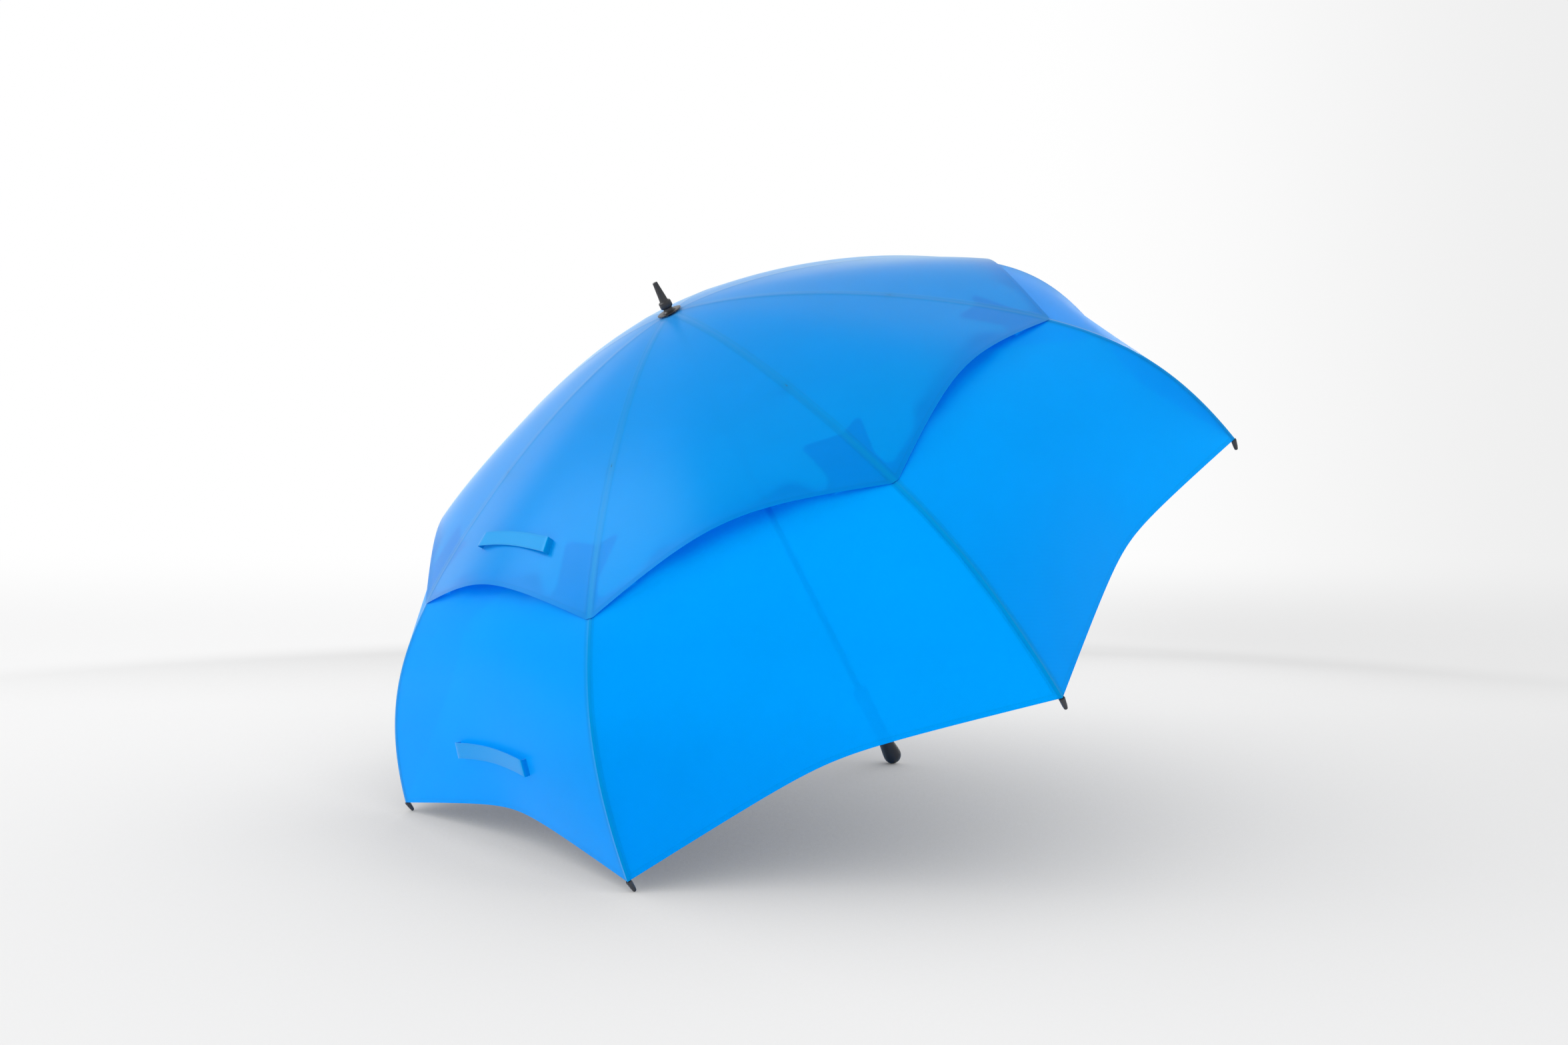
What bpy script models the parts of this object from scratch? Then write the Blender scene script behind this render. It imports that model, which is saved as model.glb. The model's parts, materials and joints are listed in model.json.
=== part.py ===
"""Double canopy golf umbrella, open, lying on two rib tips and the end of its handle.

The umbrella is drawn upright, with the centre of its canopy at the origin and the shaft running
down -Z, and an empty then leans it over and sets it on the floor. Each rib has a plane of its own,
in which Y is the distance from the shaft and X is sideways; each canopy panel has one too, halfway
between two ribs. All lengths are in metres.
"""

import math

import bmesh
import bpy
from mathutils import Matrix, Vector

# Canopy and ribs
RIBS = 8
CANOPY_RADIUS = 0.640  # from the shaft to the corner of the cloth
CANOPY_DEPTH = 0.391  # from the centre of the canopy down to that corner
DOME_POWER = 1.7
RIM_POWER = 12.0
RIM_BEND_SHARE = 0.30
VENT_RADIUS = 0.475  # where the upper canopy ends, along a rib
VENT_RISE = 0.0365  # how far the middle of that edge arches up
VENT_INSET = 0.006
VENT_ROUNDING_SHARE = 0.52
VENT_SWELL_POWER = 2.2
HEM_RISE = 0.0167
HEM_INSET = 0.0297
HEM_ROUNDING_SHARE = 0.24
HEM_INSET_POWER = 1.5
LOWER_RISE = 0.010  # of the lower canopy under the vent, less than the upper one's, so that air gets out
TAB_RADIUS = 0.395  # the lower canopy runs up the ribs to here
TAB_SIDE_SHARE = 0.72
TAB_SLOPE_SHARE = 0.16
LOWER_TOP_RADIUS = 0.446
CLOTH = 0.0006
CLOTH_GAP = 0.0006
CANOPY_GAP = 0.0010  # between the two canopies where they lie on a rib
SEAM_GAP = 0.0004
CENTRE_HOLE_RADIUS = 0.0064

# Rib rods, their eyes and the clip that carries the stretcher
ROD_RADIUS = 0.0016
CROWN_PIVOT_RADIUS = 0.0095
CROWN_PIVOT_DEPTH = 0.0056
CROWN_DIP_LENGTH = 0.040
EYE_RADIUS = 0.0021
EYE_THICKNESS = 0.0022
PIN_RADIUS = 0.0007
PIN_HOLE_RADIUS = 0.0011
JOINT_RADIUS = 0.300
STRETCHER_DROP = 0.0062
CHEEK_RADIUS = 0.0026
CHEEK_THICKNESS = 0.0009
CHEEK_GAP = 0.0018
SLEEVE_RADIUS = 0.0030
SLEEVE_LENGTH = 0.0070
SLEEVE_SETBACK = 0.0032
OUTER_EYE_THICKNESS = 0.0028
OUTER_SHANK = 0.0055
STRETCHER_HALF_DEPTH = 0.0022
STRETCHER_THICKNESS = 0.0022

# Rib tips
TIP_LENGTH = 0.0159  # below the corner of the cloth
TIP_TOP_RADIUS = 0.0034
TIP_END_RADIUS = 0.0022
TIP_SOCKET_DEPTH = 0.0090
TIP_SEAT_GAP = 0.0012

# Shaft, ferrule and crown
SHAFT_RADIUS = 0.0052
SHAFT_WALL = 0.0009
SHAFT_TOP = 0.0160
SLOT_WIDTH = 0.0024
SLOT_OVERRUN = 0.004
FERRULE_TOP = 0.047
FERRULE_TOP_RADIUS = 0.0034
FERRULE_ROOT_RADIUS = 0.0058
FERRULE_COLLAR_TOP = 0.0191
FERRULE_COLLAR_BOTTOM = 0.0096
FERRULE_COLLAR_RADIUS = 0.0087
FERRULE_NECK_RADIUS = 0.0062
FERRULE_FLARE_RADIUS = 0.0094
FERRULE_CHAMFER = 0.0014
DISC_RADIUS = 0.0173
DISC_THICKNESS = 0.0011
DISC_EDGE = 0.0004
CROWN_RADIUS = 0.0130
CROWN_WALL = 0.0013
CROWN_BELOW_PIVOT = 0.0044
CROWN_ABOVE_PIVOT = 0.0048
CROWN_WIRE_RADIUS = 0.0006
NOTCH_WIDTH = 0.0030

# Runner
RUNNER_PIVOT_RADIUS = 0.0135
RUNNER_RADIUS = 0.0162
RUNNER_HUB_RADIUS = 0.0103
RUNNER_SLEEVE_RADIUS = 0.0086
RUNNER_FLANGE_RADIUS = 0.0100
RUNNER_ABOVE_PIVOT = 0.0045
RUNNER_BELOW_PIVOT = 0.0055
RUNNER_SLEEVE_LENGTH = 0.042
RUNNER_FLANGE_LENGTH = 0.0040
RUNNER_NOTCH_WIDTH = 0.0034
DRIVE_PIN_RADIUS = 0.0009
DRIVE_PIN_DROP = 0.0180
DRIVE_PIN_LENGTH = 0.0030

# Folded place that sets how far the joints travel
FOLDED_JOINT_RADIUS = 0.0150

# Handle, push button and springs
HANDLE_TOP_DEPTH = 0.6925
HANDLE_NECK_RADIUS = 0.0113
HANDLE_END_RADIUS = 0.0143
HANDLE_LENGTH = 0.1335
HANDLE_END_WALL = 0.026  # of the handle beyond the end of the shaft
HANDLE_SWELL = 0.034
HANDLE_END_FLAT_RADIUS = 0.0040
HANDLE_TOP_CHAMFER = 0.0015
HOUSING_LENGTH = 0.0200
HOUSING_RADIUS = 0.0122
HOUSING_CHAMFER = 0.0016
BUTTON_WIDTH = 0.0062
BUTTON_HEIGHT = 0.0100
BUTTON_PROUD = 0.0024
BUTTON_INNER_RADIUS = 0.0084
BUTTON_ROUNDING = 0.0008
BUTTON_SPRING_RADIUS = 0.0016
BUTTON_WIRE_RADIUS = 0.0002
BUTTON_SPRING_TURNS = 2.5
SPRING_RADIUS = 0.0031
SPRING_WIRE_RADIUS = 0.00045
SPRING_TURNS = 20

# Straps sewn across one panel
STRAP_LENGTH = 0.148
STRAP_WIDTH = 0.021
STRAP_THICKNESS = 0.0012
STRAP_STANDOFF = 0.0065
UPPER_STRAP_RADIUS = 0.405
LOWER_STRAP_RADIUS = 0.603

# Clearances, and how round the round things are
GAP = 0.0003
OVERRUN = 0.002
WELD = 0.00001
ROUND_SIDES = 20
SMALL_SIDES = 12
PIN_SIDES = 6
TIP_SIDES = 10
EYE_SIDES = 8
PANEL_COLUMNS = 8
UPPER_ROWS = 7
LOWER_ROWS = 6
STRAP_COLUMNS = 8
INNER_ROD_POINTS = 6
OUTER_ROD_POINTS = 3  # before the rows of the lower canopy, which the rod then shares
ROW_CROWDING = 1.5  # how much closer the rows lie toward the rim
SPRING_STEPS = 6

FLAT_ANGLE = math.radians(0.5)
SHARP_ANGLE = math.radians(35)

HALF_STEP = math.pi / RIBS
ORIGIN = Vector((0, 0, 0))

for old in list(bpy.data.objects):
    bpy.data.objects.remove(old, do_unlink=True)

parts = bpy.data.collections.new("double_canopy_umbrella")
cutters = bpy.data.collections.new("cutters")
bpy.context.scene.collection.children.link(parts)
bpy.context.scene.collection.children.link(cutters)
stand = bpy.data.objects.new("umbrella_stand", None)
parts.objects.link(stand)


def material(name, color, roughness, metallic=0.0):
    """One Principled material."""
    made = bpy.data.materials.new(name)
    made.use_nodes = True
    shader = made.node_tree.nodes["Principled BSDF"]
    shader.inputs["Base Color"].default_value = (*color, 1.0)
    shader.inputs["Roughness"].default_value = roughness
    shader.inputs["Metallic"].default_value = metallic
    return made


UPPER_CLOTH = material("upper_cloth", (0.015, 0.33, 0.87), 0.6)
LOWER_CLOTH = material("lower_cloth", (0.005, 0.30, 0.95), 0.6)
STRAP_CLOTH = material("strap_cloth", (0.012, 0.30, 0.85), 0.6)
BLACK_PLASTIC = material("black_plastic", (0.02, 0.02, 0.022), 0.4)
GRIP_RUBBER = material("grip_rubber", (0.012, 0.012, 0.012), 0.7)
RIB_GLASSFIBRE = material("rib_glassfibre", (0.03, 0.03, 0.035), 0.35)
SHAFT_METAL = material("shaft_metal", (0.05, 0.05, 0.055), 0.3, 0.9)
SPRING_STEEL = material("spring_steel", (0.55, 0.55, 0.56), 0.3, 1.0)


# Lines and surfaces that the pieces share


def rib_depth(radius):
    """How far the cloth over a rib lies below the canopy's centre."""
    share = radius / CANOPY_RADIUS
    dome = (1 - RIM_BEND_SHARE) * share**DOME_POWER
    return CANOPY_DEPTH * (dome + RIM_BEND_SHARE * share**RIM_POWER)


def rib_slope(radius):
    share = radius / CANOPY_RADIUS
    dome = (1 - RIM_BEND_SHARE) * DOME_POWER * share ** (DOME_POWER - 1)
    rim = RIM_BEND_SHARE * RIM_POWER * share ** (RIM_POWER - 1)
    return CANOPY_DEPTH / CANOPY_RADIUS * (dome + rim)


def over_rib(radius, height):
    """(distance from the shaft, Z) of a point that far above the line of a rib."""
    slope = rib_slope(radius)
    size = math.hypot(slope, 1)
    return radius + height * slope / size, height / size - rib_depth(radius)


def rod_point(radius):
    """The middle of a rib's rod. Near the crown it dips down to its pivot."""
    away = min((radius - CROWN_PIVOT_RADIUS) / CROWN_DIP_LENGTH, 1)
    dip = (CROWN_PIVOT_DEPTH - ROD_RADIUS - rib_depth(CROWN_PIVOT_RADIUS)) * (1 - away) ** 2
    y, z = over_rib(radius, -ROD_RADIUS - dip)
    return Vector((0, y, z))


def arch(across, rounding):
    """1 in the middle of a panel and 0 at its two ribs, nearly straight between them."""
    edge = math.hypot(rounding, 1)
    return (edge - math.hypot(rounding, across)) / (edge - rounding)


def lower_row_radius(top, down):
    """The rows of the lower canopy crowd toward the rim, where it bends most."""
    return CANOPY_RADIUS - (CANOPY_RADIUS - top) * (1 - down) ** ROW_CROWDING


UPPER_CLOTH_HEIGHT = CLOTH_GAP + CLOTH + CANOPY_GAP + CLOTH / 2


def upper_point(radius, across, height=0):
    """The upper canopy between two ribs. across runs from -1 to 1."""
    y, z = over_rib(radius, UPPER_CLOTH_HEIGHT + height)
    swell = (radius / VENT_RADIUS) ** VENT_SWELL_POWER * arch(across, VENT_ROUNDING_SHARE)
    side = y * math.sin(HALF_STEP) - SEAM_GAP
    y = y * math.cos(HALF_STEP) - VENT_INSET * swell
    return Vector((side * across, y, z + VENT_RISE * swell))


def lower_point(radius, across, height=0):
    """The lower canopy between two ribs."""
    y, z = over_rib(radius, CLOTH_GAP + CLOTH / 2 + height)
    down = max((radius - VENT_RADIUS) / (CANOPY_RADIUS - VENT_RADIUS), 0)
    rounding = VENT_ROUNDING_SHARE + (HEM_ROUNDING_SHARE - VENT_ROUNDING_SHARE) * down
    rise = LOWER_RISE * min(radius / VENT_RADIUS, 1) + (HEM_RISE - LOWER_RISE) * down
    side = y * math.sin(HALF_STEP) - SEAM_GAP
    y = y * math.cos(HALF_STEP) - HEM_INSET * down**HEM_INSET_POWER * arch(across, rounding)
    return Vector((side * across, y, z + rise * arch(across, rounding)))


def lower_edge_radius(across):
    """The upper edge of the lower canopy: a tab up each rib and a low stretch between them."""
    up = (abs(across) - (TAB_SIDE_SHARE - TAB_SLOPE_SHARE)) / TAB_SLOPE_SHARE
    up = min(max(up, 0), 1)
    return LOWER_TOP_RADIUS + (TAB_RADIUS - LOWER_TOP_RADIUS) * up


# The pivots of one rib's linkage, open and folded

crown_pivot = rod_point(CROWN_PIVOT_RADIUS)
flex_pivot = rod_point(JOINT_RADIUS)
rib_fall = math.atan(rib_slope(JOINT_RADIUS))
stretcher_pivot = flex_pivot - STRETCHER_DROP * Vector((0, math.sin(rib_fall), math.cos(rib_fall)))
arm = (stretcher_pivot - crown_pivot).length
open_reach = stretcher_pivot.y - RUNNER_PIVOT_RADIUS
runner_open_z = stretcher_pivot.z - math.sqrt(arm**2 - open_reach**2)
folded_reach = FOLDED_JOINT_RADIUS - RUNNER_PIVOT_RADIUS
folded_joint_z = crown_pivot.z - math.sqrt(arm**2 - (FOLDED_JOINT_RADIUS - CROWN_PIVOT_RADIUS) ** 2)
runner_folded_z = folded_joint_z - math.sqrt(arm**2 - folded_reach**2)
runner_travel = runner_open_z - runner_folded_z
runner_pivot = Vector((0, RUNNER_PIVOT_RADIUS, runner_open_z))
tip_end = Vector((0, rod_point(CANOPY_RADIUS).y, -CANOPY_DEPTH - TIP_LENGTH))

# How far the umbrella leans to lie on two tips and its handle

handle_end_depth = HANDLE_TOP_DEPTH + HANDLE_LENGTH
shaft_end_depth = handle_end_depth - HANDLE_END_WALL
rest_reach = tip_end.y * math.cos(HALF_STEP)
rest_rise = handle_end_depth - HANDLE_END_RADIUS + tip_end.z + TIP_END_RADIUS
rest_tilt = math.asin((HANDLE_END_RADIUS - TIP_END_RADIUS) / math.hypot(rest_reach, rest_rise))
lean = math.atan2(rest_rise, rest_reach) + rest_tilt


# Building blocks


def rib_azimuth(number):
    return HALF_STEP * (2 * number - 1)


def panel_azimuth(number):
    return HALF_STEP * 2 * (number - 1)


def turned_about_shaft(azimuth):
    return Matrix.Rotation(-azimuth, 4, "Z")


def scratch(mesh, collection=cutters):
    """A passing object that only lends its shape."""
    made = bpy.data.objects.new("shape", mesh)
    made.hide_render = True
    made.display_type = "WIRE"
    collection.objects.link(made)
    return made


def mesh_from(build):
    shape = bmesh.new()
    build(shape)
    mesh = bpy.data.meshes.new("shape")
    shape.to_mesh(mesh)
    shape.free()
    return mesh


def settled(shape):
    """The mesh of an object with its modifiers applied, and the object removed."""
    depsgraph = bpy.context.evaluated_depsgraph_get()
    depsgraph.update()
    mesh = bpy.data.meshes.new_from_object(shape.evaluated_get(depsgraph))
    bpy.data.objects.remove(shape, do_unlink=True)
    return mesh


def combined(base, others, operation):
    """One mesh, with each of the others joined to it or cut from it."""
    shape = scratch(base)
    tools = [scratch(other) for other in others]
    for tool in tools:
        boolean = shape.modifiers.new("boolean", "BOOLEAN")
        boolean.operation = operation
        boolean.solver = "EXACT"
        boolean.object = tool
    made = settled(shape)
    for tool in tools:
        bpy.data.objects.remove(tool, do_unlink=True)
    return made


def joined(base, *others):
    return combined(base, others, "UNION")


def cut(base, *others):
    return combined(base, others, "DIFFERENCE")


def box(size, centre, turn=0):
    matrix = Matrix.Translation(centre) @ Matrix.Rotation(turn, 4, "Z") @ Matrix.Diagonal((*size, 1))
    return mesh_from(lambda shape: bmesh.ops.create_cube(shape, size=1, matrix=matrix))


def cylinder(radius, start, end, sides):
    """A round bar from one point to another."""
    line = end - start
    matrix = Matrix.Translation((start + end) / 2) @ line.to_track_quat("Z", "Y").to_matrix().to_4x4()
    return mesh_from(
        lambda shape: bmesh.ops.create_cone(
            shape,
            cap_ends=True,
            segments=sides,
            radius1=radius,
            radius2=radius,
            depth=line.length,
            matrix=matrix,
        )
    )


def sideways(centre, length, offset=0):
    """The two ends of a pin that crosses a rib's plane."""
    middle = centre + Vector((offset, 0, 0))
    half = Vector((length / 2, 0, 0))
    return middle - half, middle + half


def plate(circles, thickness, offset=0):
    """A flat plate in a rib's plane, wrapped round circles given as (centre, radius)."""

    def build(shape):
        for centre, radius in circles:
            for side in (-thickness / 2, thickness / 2):
                turn = Matrix.Rotation(math.pi / 2, 4, "Y")
                matrix = Matrix.Translation(centre + Vector((side + offset, 0, 0))) @ turn
                bmesh.ops.create_circle(shape, segments=EYE_SIDES, radius=radius, matrix=matrix)
        found = bmesh.ops.convex_hull(shape, input=shape.verts[:])
        loose = [item for item in found["geom_interior"] if isinstance(item, bmesh.types.BMVert)]
        bmesh.ops.delete(shape, geom=loose)
        bmesh.ops.dissolve_limit(
            shape, angle_limit=FLAT_ANGLE, verts=shape.verts[:], edges=shape.edges[:]
        )

    return mesh_from(build)


def tube(points, radius, resolution=1):
    """A rod with closed ends along a line of points."""
    curve = bpy.data.curves.new("line", "CURVE")
    curve.dimensions = "3D"
    curve.bevel_depth = radius
    curve.bevel_resolution = resolution
    curve.use_fill_caps = True
    spline = curve.splines.new("POLY")
    spline.points.add(len(points) - 1)
    for spot, point in zip(spline.points, points):
        spot.co = (*point, 1)
    line = bpy.data.objects.new("line", curve)
    cutters.objects.link(line)
    mesh = settled(line)
    bpy.data.curves.remove(curve)
    shape = bmesh.new()
    shape.from_mesh(mesh)
    bmesh.ops.remove_doubles(shape, verts=shape.verts[:], dist=WELD)
    bmesh.ops.recalc_face_normals(shape, faces=shape.faces[:])
    shape.to_mesh(mesh)
    shape.free()
    return mesh


def turned(profile, sides):
    """A closed outline of (radius, Z), spun round the shaft."""

    def build(shape):
        spots = [shape.verts.new((radius, 0, z)) for radius, z in profile]
        for first, second in zip(spots, spots[1:] + spots[:1]):
            if first.co.x > 0 or second.co.x > 0:
                shape.edges.new((first, second))

    screw_shape = scratch(mesh_from(build))
    screw = screw_shape.modifiers.new("screw", "SCREW")
    screw.steps = sides
    screw.render_steps = sides
    screw.use_merge_vertices = True
    screw.merge_threshold = WELD
    mesh = settled(screw_shape)
    shape = bmesh.new()
    shape.from_mesh(mesh)
    bmesh.ops.recalc_face_normals(shape, faces=shape.faces[:])
    shape.to_mesh(mesh)
    shape.free()
    return mesh


def cloth(place, columns, rows, thickness):
    """A sheet from a grid, with place(across, down) giving each point, thickened evenly both ways."""

    def build(shape):
        bmesh.ops.create_grid(shape, x_segments=columns, y_segments=rows, size=1)
        for spot in shape.verts:
            spot.co = place(spot.co.x, (1 - spot.co.y) / 2)

    sheet = scratch(mesh_from(build))
    wall = sheet.modifiers.new("wall", "SOLIDIFY")
    wall.thickness = thickness
    wall.offset = 0
    wall.use_even_offset = True
    return settled(sheet)


def add(name, mesh, finish, azimuth=0, pivot=ORIGIN):
    """Puts a piece on the stand, turned to its rib or panel, with its origin on its pivot."""
    if pivot != ORIGIN:
        mesh = mesh.copy()
        mesh.transform(Matrix.Translation(-pivot))
    mesh.name = name
    mesh.materials.clear()
    mesh.materials.append(finish)
    piece = bpy.data.objects.new(name, mesh)
    parts.objects.link(piece)
    piece.parent = stand
    piece.matrix_basis = turned_about_shaft(azimuth) @ Matrix.Translation(pivot)
    return piece


def add_round(stem, mesh, finish, pivot, azimuth_of):
    """One copy for each rib or panel. They share their mesh."""
    first = add(f"{stem}_1", mesh, finish, azimuth_of(1), pivot)
    for number in range(2, RIBS + 1):
        piece = bpy.data.objects.new(f"{stem}_{number}", first.data)
        parts.objects.link(piece)
        piece.parent = stand
        piece.matrix_basis = turned_about_shaft(azimuth_of(number)) @ Matrix.Translation(pivot)


# Ribs


def eye(centre, toward, radius, thickness, shank):
    """A flat eye on the end of a rod, with its hole."""
    along = (toward - centre).normalized()
    disc = plate([(centre, radius), (centre + along * shank, ROD_RADIUS)], thickness)
    return cut(disc, cylinder(PIN_HOLE_RADIUS, *sideways(centre, thickness + OVERRUN), PIN_SIDES))


# The flat part of a rib's end is long enough for the round rod to stay clear of the crown as the rib folds
eye_shank = math.hypot(CROWN_RADIUS - CROWN_PIVOT_RADIUS, CROWN_BELOW_PIVOT) + ROD_RADIUS + 2 * GAP


def inner_rib():
    reach = JOINT_RADIUS - SLEEVE_SETBACK - CROWN_PIVOT_RADIUS
    steps = [i / INNER_ROD_POINTS for i in range(INNER_ROD_POINTS + 1)]
    line = [rod_point(CROWN_PIVOT_RADIUS + reach * share) for share in steps]
    along = (line[1] - line[0]).normalized()
    line[0] = line[0] + along * (eye_shank - ROD_RADIUS)
    rod = tube(line, ROD_RADIUS)
    back = (line[-2] - line[-1]).normalized()
    sleeve = cylinder(SLEEVE_RADIUS, line[-1], line[-1] + back * SLEEVE_LENGTH, SMALL_SIDES)
    root = line[-1] + back * SLEEVE_LENGTH / 2
    circles = [(flex_pivot, CHEEK_RADIUS), (stretcher_pivot, CHEEK_RADIUS), (root, CHEEK_RADIUS)]
    spread = CHEEK_GAP + CHEEK_THICKNESS / 2
    cheeks = [plate(circles, CHEEK_THICKNESS, side * spread) for side in (-1, 1)]
    pin_length = 2 * CHEEK_GAP + CHEEK_THICKNESS
    spots = (flex_pivot, stretcher_pivot)
    pins = [cylinder(PIN_RADIUS, *sideways(spot, pin_length), PIN_SIDES) for spot in spots]
    crown_eye = eye(crown_pivot, line[1], EYE_RADIUS, EYE_THICKNESS, eye_shank)
    return joined(rod, crown_eye, sleeve, *cheeks, *pins)


def outer_rib():
    reach = TAB_RADIUS - JOINT_RADIUS
    line = [rod_point(JOINT_RADIUS + reach * i / OUTER_ROD_POINTS) for i in range(OUTER_ROD_POINTS)]
    rows = [i / LOWER_ROWS for i in range(LOWER_ROWS + 1)]
    line += [rod_point(lower_row_radius(TAB_RADIUS, share)) for share in rows]
    along = (line[1] - line[0]).normalized()
    line[0] = flex_pivot + along * (OUTER_SHANK - ROD_RADIUS)
    line.append(tip_end + Vector((0, 0, TIP_LENGTH - TIP_SEAT_GAP - TIP_SOCKET_DEPTH + GAP)))
    rod = tube(line, ROD_RADIUS)
    return joined(rod, eye(flex_pivot, line[1], EYE_RADIUS, OUTER_EYE_THICKNESS, OUTER_SHANK))


def rib_tip():
    """The plastic cap on a rib's end, made on the shaft's axis and moved out to the rib."""
    top = TIP_LENGTH - TIP_SEAT_GAP
    rounded = [
        (TIP_END_RADIUS * math.sin(turn), TIP_END_RADIUS * (1 - math.cos(turn)))
        for turn in (math.pi / 4, math.pi / 2)
    ]
    bore = ROD_RADIUS + GAP
    floor = top - TIP_SOCKET_DEPTH
    profile = [(0, 0), *rounded, (TIP_TOP_RADIUS, top), (bore, top), (bore, floor), (0, floor)]
    mesh = turned(profile, TIP_SIDES)
    mesh.transform(Matrix.Translation(tip_end))
    return mesh


def stretcher():
    ends = (stretcher_pivot, runner_pivot)
    bar = plate([(spot, STRETCHER_HALF_DEPTH) for spot in ends], STRETCHER_THICKNESS)
    length = STRETCHER_THICKNESS + OVERRUN
    return cut(bar, *[cylinder(PIN_HOLE_RADIUS, *sideways(spot, length), PIN_SIDES) for spot in ends])


# Canopies and straps


def upper_panel():
    def place(across, down):
        return upper_point(CENTRE_HOLE_RADIUS + (VENT_RADIUS - CENTRE_HOLE_RADIUS) * down, across)

    return cloth(place, PANEL_COLUMNS, UPPER_ROWS, CLOTH)


def lower_panel():
    def place(across, down):
        return lower_point(lower_row_radius(lower_edge_radius(across), down), across)

    return cloth(place, PANEL_COLUMNS, LOWER_ROWS, CLOTH)


def strap(surface, radius):
    """A band across a panel, with its two ends bent down to the cloth."""
    half = STRAP_LENGTH / 2
    half_width = STRAP_WIDTH / 2 / math.hypot(rib_slope(radius), 1)
    foot = CLOTH / 2 + STRAP_THICKNESS / 2 + GAP
    side = radius * math.sin(HALF_STEP)

    def place(across, down):
        step = abs(across) * (STRAP_COLUMNS / 2)
        near = min(step / (STRAP_COLUMNS / 2 - 1), 1)
        height = STRAP_STANDOFF if step < STRAP_COLUMNS / 2 - WELD else foot
        run = math.copysign(near * half, across) / side
        return surface(radius + (2 * down - 1) * half_width, run, height)

    return cloth(place, STRAP_COLUMNS, 2, STRAP_THICKNESS)


# Shaft, crown, runner and ferrule


def slots(inner, outer, width, low, high):
    """The cutters for one slot in line with each rib."""
    size = (width, outer - inner, high - low)
    found = []
    for number in range(1, RIBS + 1):
        turn = turned_about_shaft(rib_azimuth(number))
        centre = turn @ Vector((0, (inner + outer) / 2, (low + high) / 2))
        found.append(box(size, centre, -rib_azimuth(number)))
    return found


def shaft():
    inner = SHAFT_RADIUS - SHAFT_WALL
    low = -shaft_end_depth
    profile = [(SHAFT_RADIUS, SHAFT_TOP), (SHAFT_RADIUS, low), (inner, low), (inner, SHAFT_TOP)]
    tube_mesh = turned(profile, ROUND_SIDES)
    top = runner_open_z - DRIVE_PIN_DROP + DRIVE_PIN_RADIUS + SLOT_OVERRUN
    bottom = runner_folded_z - DRIVE_PIN_DROP - DRIVE_PIN_RADIUS - SLOT_OVERRUN
    centre = Vector((0, -SHAFT_RADIUS, (top + bottom) / 2))
    return cut(tube_mesh, box((SLOT_WIDTH, 2 * SHAFT_WALL + OVERRUN, top - bottom), centre))


def crown():
    bore = SHAFT_RADIUS + GAP
    top = crown_pivot.z + CROWN_ABOVE_PIVOT
    bottom = crown_pivot.z - CROWN_BELOW_PIVOT
    profile = [(CROWN_RADIUS, top), (CROWN_RADIUS, bottom), (bore, bottom), (bore, top)]
    hub = turned(profile, ROUND_SIDES)
    notches = slots(bore + CROWN_WALL, CROWN_RADIUS + OVERRUN, NOTCH_WIDTH, bottom - OVERRUN, top + OVERRUN)
    ring = [Vector((0, CROWN_PIVOT_RADIUS, crown_pivot.z))]
    sides = RIBS * 4
    ring = [turned_about_shaft(2 * math.pi * (i + 0.5) / sides) @ ring[0] for i in range(sides + 1)]
    wire = closed_wire(ring[:-1], CROWN_WIRE_RADIUS)
    return joined(cut(hub, *notches), wire)


def closed_wire(points, radius):
    """A wire ring through points."""
    curve = bpy.data.curves.new("ring", "CURVE")
    curve.dimensions = "3D"
    curve.bevel_depth = radius
    curve.bevel_resolution = 0
    spline = curve.splines.new("POLY")
    spline.points.add(len(points) - 1)
    for spot, point in zip(spline.points, points):
        spot.co = (*point, 1)
    spline.use_cyclic_u = True
    ring = bpy.data.objects.new("ring", curve)
    cutters.objects.link(ring)
    mesh = settled(ring)
    bpy.data.curves.remove(curve)
    return mesh


def runner():
    bore = SHAFT_RADIUS + GAP
    top = runner_open_z + RUNNER_ABOVE_PIVOT
    shoulder = runner_open_z - RUNNER_BELOW_PIVOT
    low = shoulder - RUNNER_SLEEVE_LENGTH
    ledge = low + RUNNER_FLANGE_LENGTH
    profile = [
        (bore, low),
        (bore, top),
        (RUNNER_RADIUS, top),
        (RUNNER_RADIUS, shoulder),
        (RUNNER_SLEEVE_RADIUS, shoulder),
        (RUNNER_SLEEVE_RADIUS, ledge),
        (RUNNER_FLANGE_RADIUS, ledge),
        (RUNNER_FLANGE_RADIUS, low),
    ]
    body = turned(profile, ROUND_SIDES)
    notches = slots(
        RUNNER_HUB_RADIUS, RUNNER_RADIUS + OVERRUN, RUNNER_NOTCH_WIDTH, shoulder - OVERRUN / 2, top + OVERRUN
    )
    pin_z = runner_open_z - DRIVE_PIN_DROP
    outside = Vector((0, -RUNNER_SLEEVE_RADIUS, pin_z))
    inside = Vector((0, DRIVE_PIN_LENGTH - SHAFT_RADIUS, pin_z))
    pin = cylinder(DRIVE_PIN_RADIUS, outside, inside, PIN_SIDES)
    return joined(cut(body, *notches), pin)


def disc_bottom():
    return UPPER_CLOTH_HEIGHT + CLOTH / 2 + GAP


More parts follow.
